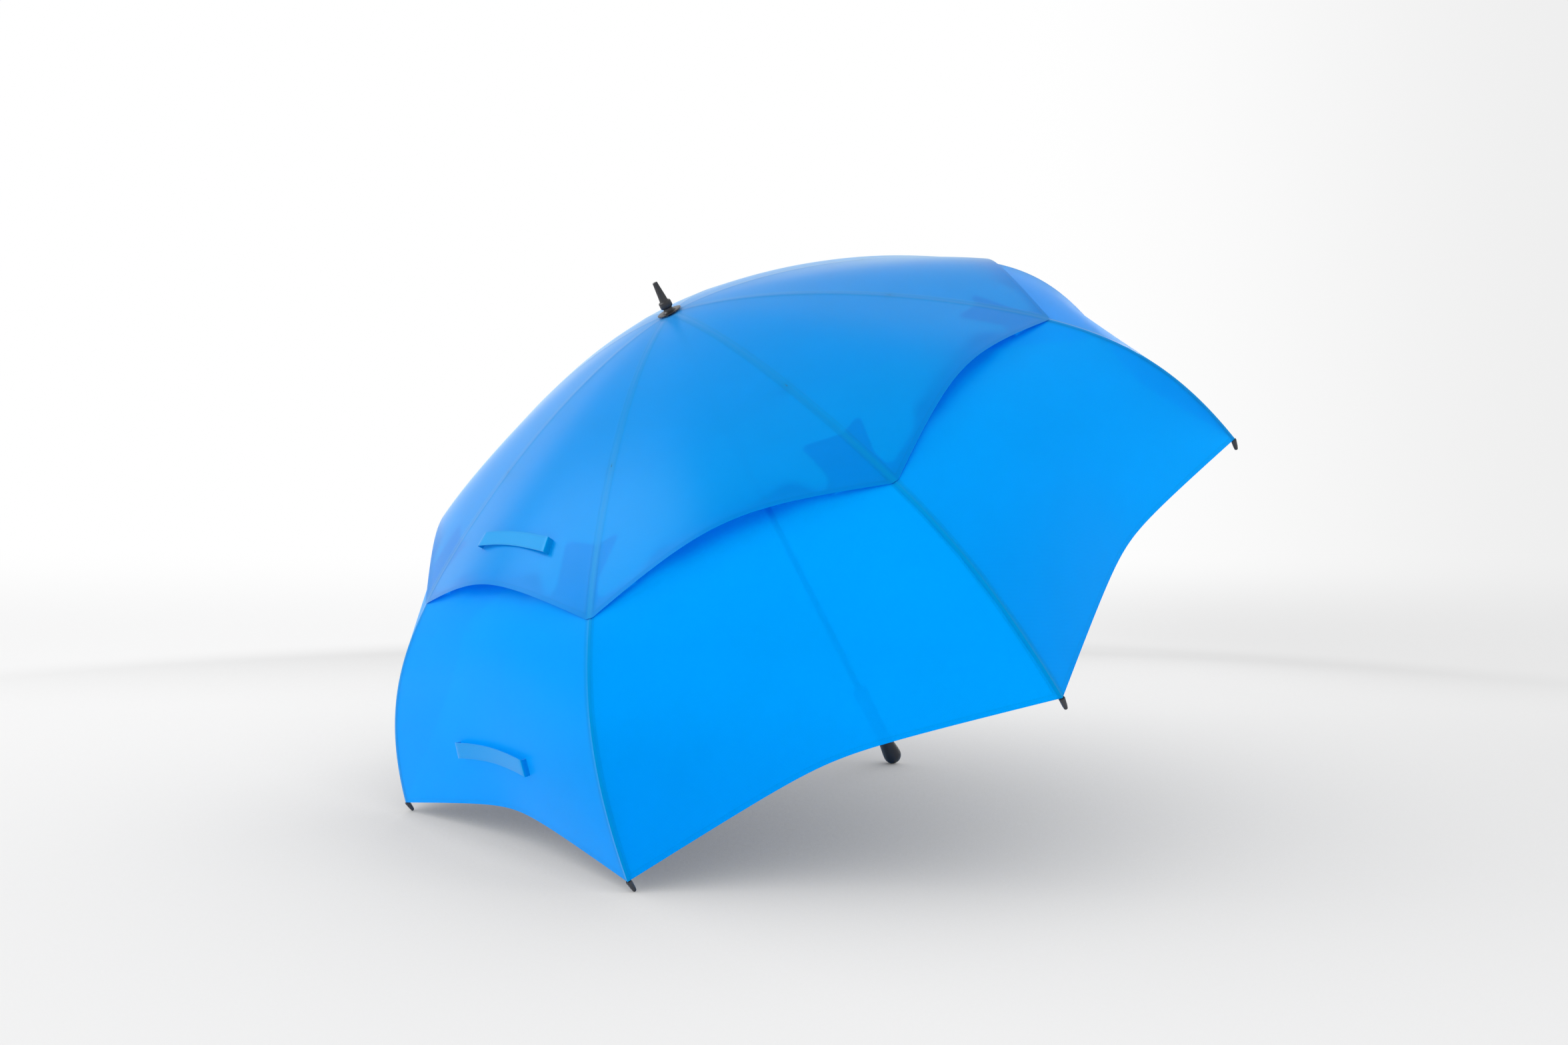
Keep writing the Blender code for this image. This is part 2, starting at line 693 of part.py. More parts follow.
def ferrule():
    """The moulded spike: a neck that flares on to the disc, a collar and a tapered peg."""
    seat = disc_bottom() + DISC_THICKNESS + GAP
    top = FERRULE_COLLAR_TOP
    low = FERRULE_COLLAR_BOTTOM
    bore = SHAFT_RADIUS + GAP
    profile = [
        (0, FERRULE_TOP),
        (FERRULE_TOP_RADIUS, FERRULE_TOP),
        (FERRULE_ROOT_RADIUS, top),
        (FERRULE_COLLAR_RADIUS - FERRULE_CHAMFER, top),
        (FERRULE_COLLAR_RADIUS, top - FERRULE_CHAMFER),
        (FERRULE_COLLAR_RADIUS, low + FERRULE_CHAMFER),
        (FERRULE_COLLAR_RADIUS - FERRULE_CHAMFER, low),
        (FERRULE_NECK_RADIUS + GAP, low),
    ]
    fall = low - seat
    for share in (0.35, 0.65, 0.88, 1):
        flare = (FERRULE_FLARE_RADIUS - FERRULE_NECK_RADIUS) * share**3
        profile.append((FERRULE_NECK_RADIUS + GAP + flare, low - fall * share))
    profile += [(bore, seat), (bore, SHAFT_TOP + GAP), (0, SHAFT_TOP + GAP)]
    return turned(profile, SMALL_SIDES + 4)


def top_disc():
    low = disc_bottom()
    bore = SHAFT_RADIUS + GAP
    profile = [
        (bore, low),
        (bore, low + DISC_THICKNESS),
        (DISC_RADIUS - DISC_EDGE, low + DISC_THICKNESS),
        (DISC_RADIUS, low + DISC_THICKNESS - DISC_EDGE),
        (DISC_RADIUS, low),
    ]
    return turned(profile, ROUND_SIDES)


# Handle, button and springs


def handle():
    bore = SHAFT_RADIUS + GAP
    top = -HANDLE_TOP_DEPTH
    floor = -shaft_end_depth - GAP
    end_centre = -handle_end_depth + HANDLE_END_RADIUS
    profile = [(0, floor), (bore, floor), (bore, top), (HANDLE_NECK_RADIUS - HANDLE_TOP_CHAMFER, top)]
    profile.append((HANDLE_NECK_RADIUS, top - HANDLE_TOP_CHAMFER))
    for share in (0, 0.25, 0.5, 0.75):
        swell = (HANDLE_END_RADIUS - HANDLE_NECK_RADIUS) * share * share * (3 - 2 * share)
        profile.append((HANDLE_NECK_RADIUS + swell, end_centre + HANDLE_SWELL * (1 - share)))
    last = math.acos(HANDLE_END_FLAT_RADIUS / HANDLE_END_RADIUS)
    for i in range(5):
        turn = last * i / 4
        profile.append((HANDLE_END_RADIUS * math.cos(turn), end_centre - HANDLE_END_RADIUS * math.sin(turn)))
    profile.append((0, profile[-1][1]))
    return turned(profile, ROUND_SIDES)


housing_bottom = -HANDLE_TOP_DEPTH + GAP
button_centre_z = housing_bottom + HOUSING_LENGTH / 2


def button_housing():
    bore = SHAFT_RADIUS + GAP
    top = housing_bottom + HOUSING_LENGTH
    profile = [
        (bore, housing_bottom),
        (bore, top),
        (HOUSING_RADIUS - HOUSING_CHAMFER, top),
        (HOUSING_RADIUS, top - HOUSING_CHAMFER),
        (HOUSING_RADIUS, housing_bottom + HOUSING_CHAMFER),
        (HOUSING_RADIUS - HOUSING_CHAMFER, housing_bottom),
    ]
    ring = turned(profile, ROUND_SIDES)
    size = (BUTTON_WIDTH + 2 * GAP, HOUSING_RADIUS + OVERRUN, BUTTON_HEIGHT + 2 * GAP)
    window = box(size, Vector((0, size[1] / 2, button_centre_z)))
    return cut(ring, window)


def push_button():
    outer = HOUSING_RADIUS + BUTTON_PROUD
    size = (BUTTON_WIDTH, outer - BUTTON_INNER_RADIUS, BUTTON_HEIGHT)
    centre = Vector((0, (outer + BUTTON_INNER_RADIUS) / 2, button_centre_z))
    block = scratch(box(size, centre))
    rounding = block.modifiers.new("rounding", "BEVEL")
    rounding.width = BUTTON_ROUNDING
    rounding.segments = 1
    return settled(block)


def coil(radius, wire, start, end, turns, steps):
    """A spring wound round the line from start to end."""
    line = end - start
    frame = line.to_track_quat("Z", "Y").to_matrix()
    count = round(turns * steps)
    points = []
    for i in range(count + 1):
        turn = 2 * math.pi * turns * i / count
        round_axis = frame @ Vector((radius * math.cos(turn), radius * math.sin(turn), 0))
        points.append(start + line * i / count + round_axis)
    print("coil: least gap between turns", round(line.length / turns - 2 * wire, 5), "m")
    return tube(points, wire, 0)


def opening_spring():
    clear = GAP + SPRING_WIRE_RADIUS
    start = Vector((0, 0, -shaft_end_depth + clear))
    end = Vector((0, 0, runner_open_z - DRIVE_PIN_DROP - DRIVE_PIN_RADIUS - clear))
    return coil(SPRING_RADIUS, SPRING_WIRE_RADIUS, start, end, SPRING_TURNS, SPRING_STEPS)


def button_spring():
    clear = GAP + BUTTON_WIRE_RADIUS
    start = Vector((0, SHAFT_RADIUS + clear, button_centre_z))
    end = Vector((0, BUTTON_INNER_RADIUS - clear, button_centre_z))
    return coil(BUTTON_SPRING_RADIUS, BUTTON_WIRE_RADIUS, start, end, BUTTON_SPRING_TURNS, SPRING_STEPS)


add("shaft", shaft(), SHAFT_METAL)
add("ferrule", ferrule(), BLACK_PLASTIC)
add("top_disc", top_disc(), BLACK_PLASTIC)
add("crown", crown(), BLACK_PLASTIC)
add("runner", runner(), BLACK_PLASTIC)
add("handle", handle(), GRIP_RUBBER)
add("button_housing", button_housing(), BLACK_PLASTIC)
button_pivot = Vector((0, HOUSING_RADIUS, button_centre_z))
add("push_button", push_button(), BLACK_PLASTIC, 0, button_pivot)
add("button_spring", button_spring(), SPRING_STEEL)
add("opening_spring", opening_spring(), SPRING_STEEL)
add_round("rib_inner", inner_rib(), RIB_GLASSFIBRE, crown_pivot, rib_azimuth)
add_round("rib_outer", outer_rib(), RIB_GLASSFIBRE, flex_pivot, rib_azimuth)
add_round("rib_tip", rib_tip(), BLACK_PLASTIC, flex_pivot, rib_azimuth)
add_round("stretcher", stretcher(), BLACK_PLASTIC, stretcher_pivot, rib_azimuth)
panel_pivot = Vector((0, 0, crown_pivot.z))
add_round("upper_panel", upper_panel(), UPPER_CLOTH, panel_pivot, panel_azimuth)
add_round("lower_panel", lower_panel(), LOWER_CLOTH, panel_pivot, panel_azimuth)
add("upper_strap", strap(upper_point, UPPER_STRAP_RADIUS), STRAP_CLOTH, panel_azimuth(1), panel_pivot)
add("lower_strap", strap(lower_point, LOWER_STRAP_RADIUS), STRAP_CLOTH, panel_azimuth(1), panel_pivot)

for piece in parts.objects:
    if piece.type == "MESH":
        piece.data.shade_smooth()
        piece.data.set_sharp_from_angle(angle=SHARP_ANGLE)

# Lean it over, and put the middle of its footprint at the origin and its lowest point on the floor
stand.rotation_euler = (-lean, 0, 0)
bpy.context.view_layer.update()
solids = [piece for piece in parts.objects if piece.type == "MESH"]
corners = [piece.matrix_world @ spot.co for piece in solids for spot in piece.data.vertices]
low = [min(corner[i] for corner in corners) for i in range(3)]
high = [max(corner[i] for corner in corners) for i in range(3)]
stand.location = (-(low[0] + high[0]) / 2, -(low[1] + high[1]) / 2, -low[2])
bpy.context.view_layer.update()
print("lean", round(math.degrees(lean), 3), "stand", [round(value, 5) for value in stand.location])
print("size", [round(b - a, 4) for a, b in zip(low, high)])
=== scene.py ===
"""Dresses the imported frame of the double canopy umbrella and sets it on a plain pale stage."""

import bisect
import json
import math

import bmesh
import bpy
from bpy.props import FloatProperty, FloatVectorProperty, IntProperty, PointerProperty
from mathutils import Matrix, Vector


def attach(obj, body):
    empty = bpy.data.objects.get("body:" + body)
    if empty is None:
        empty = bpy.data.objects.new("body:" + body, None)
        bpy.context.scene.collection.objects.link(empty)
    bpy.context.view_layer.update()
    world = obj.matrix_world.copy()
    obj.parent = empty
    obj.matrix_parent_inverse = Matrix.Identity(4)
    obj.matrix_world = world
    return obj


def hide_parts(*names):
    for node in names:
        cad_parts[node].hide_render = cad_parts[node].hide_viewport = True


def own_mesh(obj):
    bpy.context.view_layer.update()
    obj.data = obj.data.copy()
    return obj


bl_info = {
    "name": "Double canopy umbrella",
    "version": (1, 0, 0),
    "blender": (4, 5, 0),
    "location": "3D View > Sidebar > Umbrella",
    "description": "Cloth, fittings and a plain stage for an open umbrella with a vented double canopy",
    "category": "Object",
}

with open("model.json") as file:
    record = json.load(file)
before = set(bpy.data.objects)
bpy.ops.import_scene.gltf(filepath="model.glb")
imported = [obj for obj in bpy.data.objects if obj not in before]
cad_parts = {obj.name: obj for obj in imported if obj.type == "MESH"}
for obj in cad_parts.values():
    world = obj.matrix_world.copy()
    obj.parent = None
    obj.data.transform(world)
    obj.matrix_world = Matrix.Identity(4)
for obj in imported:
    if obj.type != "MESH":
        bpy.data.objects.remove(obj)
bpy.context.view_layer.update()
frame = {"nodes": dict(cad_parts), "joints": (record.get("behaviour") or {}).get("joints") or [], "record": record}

# The canopy's shape, in metres, upright with its centre at the origin, as the frame has it
RIBS = 8
HALF_STEP = math.pi / RIBS
CANOPY_RADIUS = 0.640
CANOPY_DEPTH = 0.391
DOME_POWER = 1.7
RIM_POWER = 12.0
RIM_BEND_SHARE = 0.30
VENT_RADIUS = 0.475
VENT_RISE = 0.0365
VENT_INSET = 0.006
VENT_ROUNDING = 0.52
VENT_SWELL_POWER = 2.2
HEM_RISE = 0.0167
HEM_INSET = 0.0297
HEM_ROUNDING = 0.24
HEM_INSET_POWER = 1.5
LOWER_RISE = 0.010
TAB_RADIUS = 0.395  # where the tabs of the lower canopy start, on the rib
TAB_SLANT = 0.13  # how far their tops run outwards, for each metre away from the rib
TAB_SIDES = (-0.67, 0.80)  # of each gore's half width, at the top of the tabs
TAB_FEET = (-0.685, 0.95)  # and where they meet the notch between them
TAB_ROUNDING = 0.0065
TAB_ROUNDING_SHARE = 0.35  # at most this share of a half tab's width
NOTCH_RADIUS = 0.441
NOTCH_TILT = 0.010  # farther out at one foot, nearer in at the other
NOTCH_TAB_RADIUS = 0.461  # the notch's edge beside the tabs
NOTCH_MIDDLE_ACROSS = 0.40  # the edge goes from NOTCH_RADIUS here
NOTCH_TAB_ACROSS = 0.62  # to NOTCH_TAB_RADIUS here
NOTCH_ROUNDING = 0.013
NOTCH_ROWS = 12  # rows of faces from the tabs' tops to the notch's edge
TAB_CLOSENESS = 0.90  # how far the tabs rise from the lower canopy's own curve to the upper cloth
TAB_CLOSE_RADIUS = 0.440  # from here inwards
TAB_FREE_RADIUS = 0.480
TAB_CLOSE_ACROSS = 0.60  # and from here towards the rib
TAB_FREE_ACROSS = 0.30
CORNER_ROUNDING = 0.0070  # of the upper canopy's corners at the ribs
CORNER_PULL = 0.0026
CENTRE_HOLE_RADIUS = 0.0068
ROD_RADIUS = 0.0016
ROD_TO_CLOTH = 0.0002
FAR = 1  # a distance to an edge that isn't there
LAYER_SHARE = 2.2  # of the cloth's thickness, from the lower canopy up to the upper one
SEAM_STEPS = (0, 0.2, 0.42, 0.68, 0.92, 1)  # of a seam's width, across the doubled cloth
WIDEST_SEAM_SHARE = 0.4  # of a gore's half width, where it is narrow
SEAM_SLOPE_SHARE = 0.08  # of a seam's width, over which the doubled cloth rises
UPPER_KEEP = 0.265  # what is left of a gore's width when the umbrella is folded
LOWER_KEEP = 0.155
STRAP_WIDTH = 0.0215
STRAP_STANDOFF = 0.0080  # of the band above the cloth
STRAP_BEND = 0.0016  # radius of the bends above its legs
STRAP_THICKNESS = 0.0006
FERRULE_TOP = 0.047
FITTING_BORE = 0.0055  # in ferrule, top disc and handle
TIP_LENGTH = 0.0159
HANDLE_TOP_DEPTH = 0.6925
HANDLE_LENGTH = 0.1335

MOUNTS = {mount["name"]: mount for mount in frame["record"]["mounts"]}
JOINTS = {joint["name"]: joint for joint in frame["joints"]}
SHAFT_DOWN = Vector(JOINTS["runner_slide"]["axis"]).normalized()
CENTRE = Vector(MOUNTS["ferrule_end"]["pos_m"]) + SHAFT_DOWN * FERRULE_TOP
LEAN = math.atan2(-SHAFT_DOWN.y, -SHAFT_DOWN.z)
AS_IT_LIES = Matrix.Translation(CENTRE) @ Matrix.Rotation(-LEAN, 4, "X")


def rib_turn(number):
    """From a rib's own plane, where Y runs out along the rib, to the row frame."""
    return AS_IT_LIES @ Matrix.Rotation(-HALF_STEP * (2 * number - 1), 4, "Z")


def panel_turn(number):
    """The same for the plane halfway between two ribs."""
    return AS_IT_LIES @ Matrix.Rotation(-HALF_STEP * 2 * (number - 1), 4, "Z")


# Settings


class UmbrellaCloth(bpy.types.PropertyGroup):
    """The two canopies and their straps"""

    upper_colour: FloatVectorProperty(
        name="Upper colour", description="Cloth of the upper canopy", subtype="COLOR", size=3,
        default=(0.0, 0.335, 0.80),
    )
    lower_colour: FloatVectorProperty(
        name="Lower colour", description="Cloth of the lower canopy", subtype="COLOR", size=3,
        default=(0.0, 0.36, 0.85),
    )
    thickness: FloatProperty(
        name="Thickness", description="One layer of cloth", subtype="DISTANCE", default=0.0003, min=0.0001
    )
    band: FloatProperty(
        name="Seam width", description="Doubled cloth beside each rib and along each hem",
        subtype="DISTANCE", default=0.0072, min=0.001,
    )
    band_lift: FloatProperty(
        name="Seam height", description="How far the doubled cloth stands up", subtype="DISTANCE",
        default=0.00005, min=0,
    )
    weave: FloatProperty(
        name="Weave", description="Distance between two ridges of the twill", subtype="DISTANCE",
        default=0.0014, min=0.0002,
    )
    upper_through: FloatProperty(
        name="Upper glow",
        description="Share of light that each face of the upper canopy lets through, scattered",
        subtype="FACTOR", default=0.33, min=0, max=1,
    )
    lower_through: FloatProperty(
        name="Lower glow", description="The same for the lower canopy",
        subtype="FACTOR", default=0.62, min=0, max=1,
    )
    upper_clear: FloatProperty(
        name="Upper clearness", description="Share of each face that light passes straight through",
        subtype="FACTOR", default=0.13, min=0, max=1,
    )
    lower_clear: FloatProperty(
        name="Lower clearness", description="The same for the lower canopy",
        subtype="FACTOR", default=0.29, min=0, max=1,
    )
    glow_colour: FloatVectorProperty(
        name="Glow colour", description="Tint that light takes at each face that it passes", subtype="COLOR",
        size=3, default=(0.0, 0.68, 1.0),
    )
    # Painted sheen: a pale diffuse colour mixed in where the cloth is seen at a slant, in place of a grazing
    # reflection.
    painted_sheen: FloatVectorProperty(
        name="Bloom", description="Pale sheen of the fine threads where the cloth is seen at a slant",
        subtype="COLOR", size=3, default=(0.80, 1.0, 1.0),
    )
    # The next two settings paint shade into the cloth's colour, from ambient occlusion, where other cloth lies
    # close above it.
    painted_shade_reach: FloatProperty(
        name="Shelter", description="How near another surface has to be to darken the cloth",
        subtype="DISTANCE", default=0.11, min=0.001,
    )
    deepest_painted_shade: FloatProperty(
        name="Sheltered shade", description="Brightness of the cloth where it is quite covered",
        subtype="FACTOR", default=0.14, min=0, max=1,
    )
    columns: IntProperty(name="Columns", description="Faces across one gore", default=70, min=20)
    rows: IntProperty(name="Rows", description="Faces down one gore", default=52, min=20)


class UmbrellaFittings(bpy.types.PropertyGroup):
    """The black and bright fittings"""

    plastic_colour: FloatVectorProperty(
        name="Plastic", description="Moulded fittings", subtype="COLOR", size=3, default=(0.022, 0.023, 0.026)
    )
    grip_colour: FloatVectorProperty(
        name="Grip", description="Handle", subtype="COLOR", size=3, default=(0.004, 0.004, 0.0045)
    )
    rod_colour: FloatVectorProperty(
        name="Ribs", description="Glassfibre rods", subtype="COLOR", size=3, default=(0.016, 0.017, 0.02)
    )
    metal_colour: FloatVectorProperty(
        name="Shaft", description="Anodised tube", subtype="COLOR", size=3, default=(0.045, 0.045, 0.05)
    )
    sides: IntProperty(name="Sides", description="Sides of the turned fittings", default=48, min=12)


class UmbrellaStage(bpy.types.PropertyGroup):
    """Floor, wall, lamps and camera"""

    floor_colour: FloatVectorProperty(
        name="Floor", description="Floor and wall", subtype="COLOR", size=3, default=(0.925, 0.925, 0.926)
    )
    sky: FloatProperty(name="Room light", description="Even light from all sides", default=0.78, min=0)
    key: FloatProperty(name="Key light", description="Watts of the large lamp", default=70, min=0)
    back: FloatProperty(
        name="Back light", description="Watts of the lamp behind, which shines into the open side",
        default=29, min=0,
    )
    # The floor's look for the camera is partly an emission with a painted shadow under the umbrella, from ambient
    # occlusion; the next two settings give its share and how fast it darkens.
    plain: FloatProperty(
        name="Neutral", description="Share of the floor's look that takes no tint from the cloth above it",
        subtype="FACTOR", default=0.93, min=0, max=1,
    )
    painted_shadow_power: FloatProperty(
        name="Contact", description="How fast the floor darkens under the umbrella", default=0.80, min=0
    )
    wall_distance: FloatProperty(
        name="Wall", description="From the camera to the foot of the wall", subtype="DISTANCE", default=4.42
    )


# Shape of the cloth


def rib_depth(radius):
    """How far a rib's line lies below the crown."""
    share = radius / CANOPY_RADIUS
    dome = (1 - RIM_BEND_SHARE) * share**DOME_POWER
    return CANOPY_DEPTH * (dome + RIM_BEND_SHARE * share**RIM_POWER)


def rib_slope(radius):
    share = radius / CANOPY_RADIUS
    dome = (1 - RIM_BEND_SHARE) * DOME_POWER * share ** (DOME_POWER - 1)
    rim = RIM_BEND_SHARE * RIM_POWER * share ** (RIM_POWER - 1)
    return CANOPY_DEPTH / CANOPY_RADIUS * (dome + rim)


def over_rib(radius, height):
    """(distance from the shaft, Z) of a point that far above a rib's line."""
    slope = rib_slope(radius)
    size = math.hypot(slope, 1)
    return radius + height * slope / size, height / size - rib_depth(radius)


def smooth(start, end, value):
    """Goes softly from 0 to 1 while value goes from start to end."""
    share = min(max((value - start) / (end - start), 0), 1)
    return share * share * (3 - 2 * share)


def arch(across, rounding):
    """1 halfway between two ribs and 0 at them, rounder with a larger rounding."""
    edge = math.hypot(rounding, 1)
    return (edge - math.hypot(rounding, across)) / (edge - rounding)


def upper_point(radius, across, height=0):
    """A point of the upper canopy in the plane between two ribs, with across from -1 to 1."""
    y, z = over_rib(radius, height)
    swell = (radius / VENT_RADIUS) ** VENT_SWELL_POWER * arch(across, VENT_ROUNDING)
    x = y * math.sin(HALF_STEP) * across
    return Vector((x, y * math.cos(HALF_STEP) - VENT_INSET * swell, z + VENT_RISE * swell))


def lower_point(radius, across, height=0):
    """A point of the lower canopy in the same plane."""
    y, z = over_rib(radius, height)
    down = max((radius - VENT_RADIUS) / (CANOPY_RADIUS - VENT_RADIUS), 0)
    rounding = VENT_ROUNDING + (HEM_ROUNDING - VENT_ROUNDING) * down
    rise = LOWER_RISE * min(radius / VENT_RADIUS, 1) + (HEM_RISE - LOWER_RISE) * down
    bow = arch(across, rounding)
    x = y * math.sin(HALF_STEP) * across
    y = y * math.cos(HALF_STEP) - HEM_INSET * down**HEM_INSET_POWER * bow
    spot = Vector((x, y, z + rise * bow))
    above = smooth(TAB_FREE_RADIUS, TAB_CLOSE_RADIUS, radius)
    above *= smooth(TAB_FREE_ACROSS, TAB_CLOSE_ACROSS, abs(across))
    return spot.lerp(upper_point(radius, across, height), above * TAB_CLOSENESS)


ARC_STEPS = 800
ARC_RADII = [CANOPY_RADIUS * i / ARC_STEPS for i in range(ARC_STEPS + 1)]
ARC_LENGTHS = [0.0]
for inner, outer in zip(ARC_RADII, ARC_RADII[1:]):
    fall = rib_depth(outer) - rib_depth(inner)
    ARC_LENGTHS.append(ARC_LENGTHS[-1] + math.hypot(outer - inner, fall))


def between(value, known, wanted):
    """Reads wanted where known reaches value, in straight stretches."""
    i = min(max(bisect.bisect_left(known, value), 1), len(known) - 1)
    share = (value - known[i - 1]) / (known[i] - known[i - 1])
    return wanted[i - 1] + (wanted[i] - wanted[i - 1]) * share


def arc_at(radius):
    """How far along the rib a radius lies."""
    return between(radius, ARC_RADII, ARC_LENGTHS)


def radius_at(arc):
    return between(arc, ARC_LENGTHS, ARC_RADII)


# Building blocks


def material(name):
    """An empty node material and its tree."""
    made = bpy.data.materials.new(name)
    made.use_nodes = True
    made.node_tree.nodes.clear()
    return made, made.node_tree


def node(tree, kind, inputs=(), **settings):
    """Adds a node. inputs maps a socket's name or place to a value or to another node's output."""
    made = tree.nodes.new(kind)
    for key, value in settings.items():
        setattr(made, key, value)
    for key, value in dict(inputs).items():
        if isinstance(value, bpy.types.NodeSocket):
            tree.links.new(value, made.inputs[key])
        else:
            made.inputs[key].default_value = value
    return made


def math_node(tree, operation, *values):
    return node(tree, "ShaderNodeMath", dict(enumerate(values)), operation=operation).outputs[0]


def eased(tree, value, start, end, first=0.0, last=1.0):
    """Goes softly from first to last while value goes from start to end."""
    return node(tree, "ShaderNodeMapRange", {
        "Value": value, "From Min": start, "From Max": end, "To Min": first, "To Max": last,
    }, interpolation_type="SMOOTHSTEP").outputs[0]


def finish_surface(tree, shader):
    node(tree, "ShaderNodeOutputMaterial", {"Surface": shader})


def piece(name, mesh, finish, body, replaces=()):
    """An object of its own that rides on a body."""
    mesh.materials.clear()
    mesh.materials.append(finish)
    made = bpy.data.objects.new(name, mesh)
    bpy.context.scene.collection.objects.link(made)
    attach(made, body)
    if replaces:
        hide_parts(*replaces)
    return made


def to_mesh(name, shape):
    mesh = bpy.data.meshes.new(name)
    shape.to_mesh(mesh)
    shape.free()
    mesh.shade_smooth()
    return mesh


def turned(name, profile, place, sides, sharp=math.radians(38)):
    """Spins an outline of (radius, Z) about the shaft's line and puts it in place."""
    shape = bmesh.new()
    spots = [shape.verts.new((radius, 0, z)) for radius, z in profile]
    for first, second in zip(spots, spots[1:]):
        shape.edges.new((first, second))
    bmesh.ops.spin(
        shape, geom=shape.verts[:] + shape.edges[:], cent=(0, 0, 0), axis=(0, 0, 1),
        angle=2 * math.pi, steps=sides, use_merge=True,
    )
    bmesh.ops.remove_doubles(shape, verts=shape.verts[:], dist=1e-6)
    bmesh.ops.recalc_face_normals(shape, faces=shape.faces[:])
    bmesh.ops.transform(shape, matrix=place, verts=shape.verts[:])
    mesh = to_mesh(name, shape)
    mesh.set_sharp_from_angle(angle=sharp)
    return mesh


# Cloth pieces


def spread(columns, band_share):
    """Places across a gore from -1 to 1, close together over the doubled cloth of each seam."""
    steps = [band_share * step for step in SEAM_STEPS]
    gap = 2 * (1 - band_share)
    inner = columns - 2 * (len(steps) - 1)
    middle = [band_share - 1 + gap * i / inner for i in range(1, inner)]
    return [-1 + step for step in steps] + middle + [1 - step for step in reversed(steps)]


def down_the_gore(start, end, rows, band):
    """The same from the top of a gore to its hem, as distances along the rib."""
    steps = [band * step for step in SEAM_STEPS]
    inner = rows - 2 * (len(steps) - 1)
    length = end - start - 2 * band
    middle = [start + band + length * i / inner for i in range(1, inner)]
    return [start + step for step in steps] + middle + [end - step for step in reversed(steps)]


def lay_gore(shape, surface, top, bottom, height, cloth, shift):
    """A grid along the cloth between two ribs, whose points shift pulls about. Returns each point's facts."""
    columns, rows = cloth.columns, cloth.rows
    start, end = arc_at(top), arc_at(bottom)
    bmesh.ops.create_grid(shape, x_segments=columns, y_segments=rows, size=1)
    arcs = down_the_gore(start, end, rows, cloth.band)
    facts = {}
    for spot in shape.verts:
        i = round((spot.co.x + 1) / 2 * columns)
        j = round((1 - spot.co.y) / 2 * rows)
        half = radius_at(arcs[j]) * math.sin(HALF_STEP)
        across = spread(columns, min(cloth.band / half, WIDEST_SEAM_SHARE))[i]
        across, arc, top_edge = shift(i, j, across, arcs, half)
        radius = radius_at(arc)
        half = radius * math.sin(HALF_STEP)
        seam = (1 - abs(across)) * half
        hem = min(end - arc, top_edge)
        doubled = (cloth.band - min(seam, hem)) / (SEAM_SLOPE_SHARE * cloth.band)
        lift = cloth.band_lift * min(max(doubled, 0), 1)
        spot.co = surface(radius, across, height + lift)
        facts[spot] = (across * half, arc, seam, hem, i, j)
    bmesh.ops.reverse_faces(shape, faces=shape.faces[:])
    weave = shape.loops.layers.uv.new("weave")
    edge = shape.loops.layers.uv.new("edges")
    for face in shape.faces:
        for loop in face.loops:
            x, y, seam, hem, _, _ = facts[loop.vert]
            loop[weave].uv = (x, y)
            loop[edge].uv = (seam, hem)
    return facts


def upper_gore(name, height, cloth, place):
    """Upper canopy between two ribs. Its corners at the ribs are a little rounded."""
    end = arc_at(VENT_RADIUS)

    def shift(i, j, across, arcs, half):
        seam = (1 - abs(across)) * half
        pull = CORNER_PULL * max(1 - seam / CORNER_ROUNDING, 0) ** 2
        low = max(1 - (end - arcs[j]) / (2 * cloth.band), 0)
        return across, arcs[j] - pull * low, FAR

    shape = bmesh.new()
    lay_gore(shape, upper_point, CENTRE_HOLE_RADIUS, VENT_RADIUS, height, cloth, shift)
    bmesh.ops.transform(shape, matrix=place, verts=shape.verts[:])
    return to_mesh(name, shape)


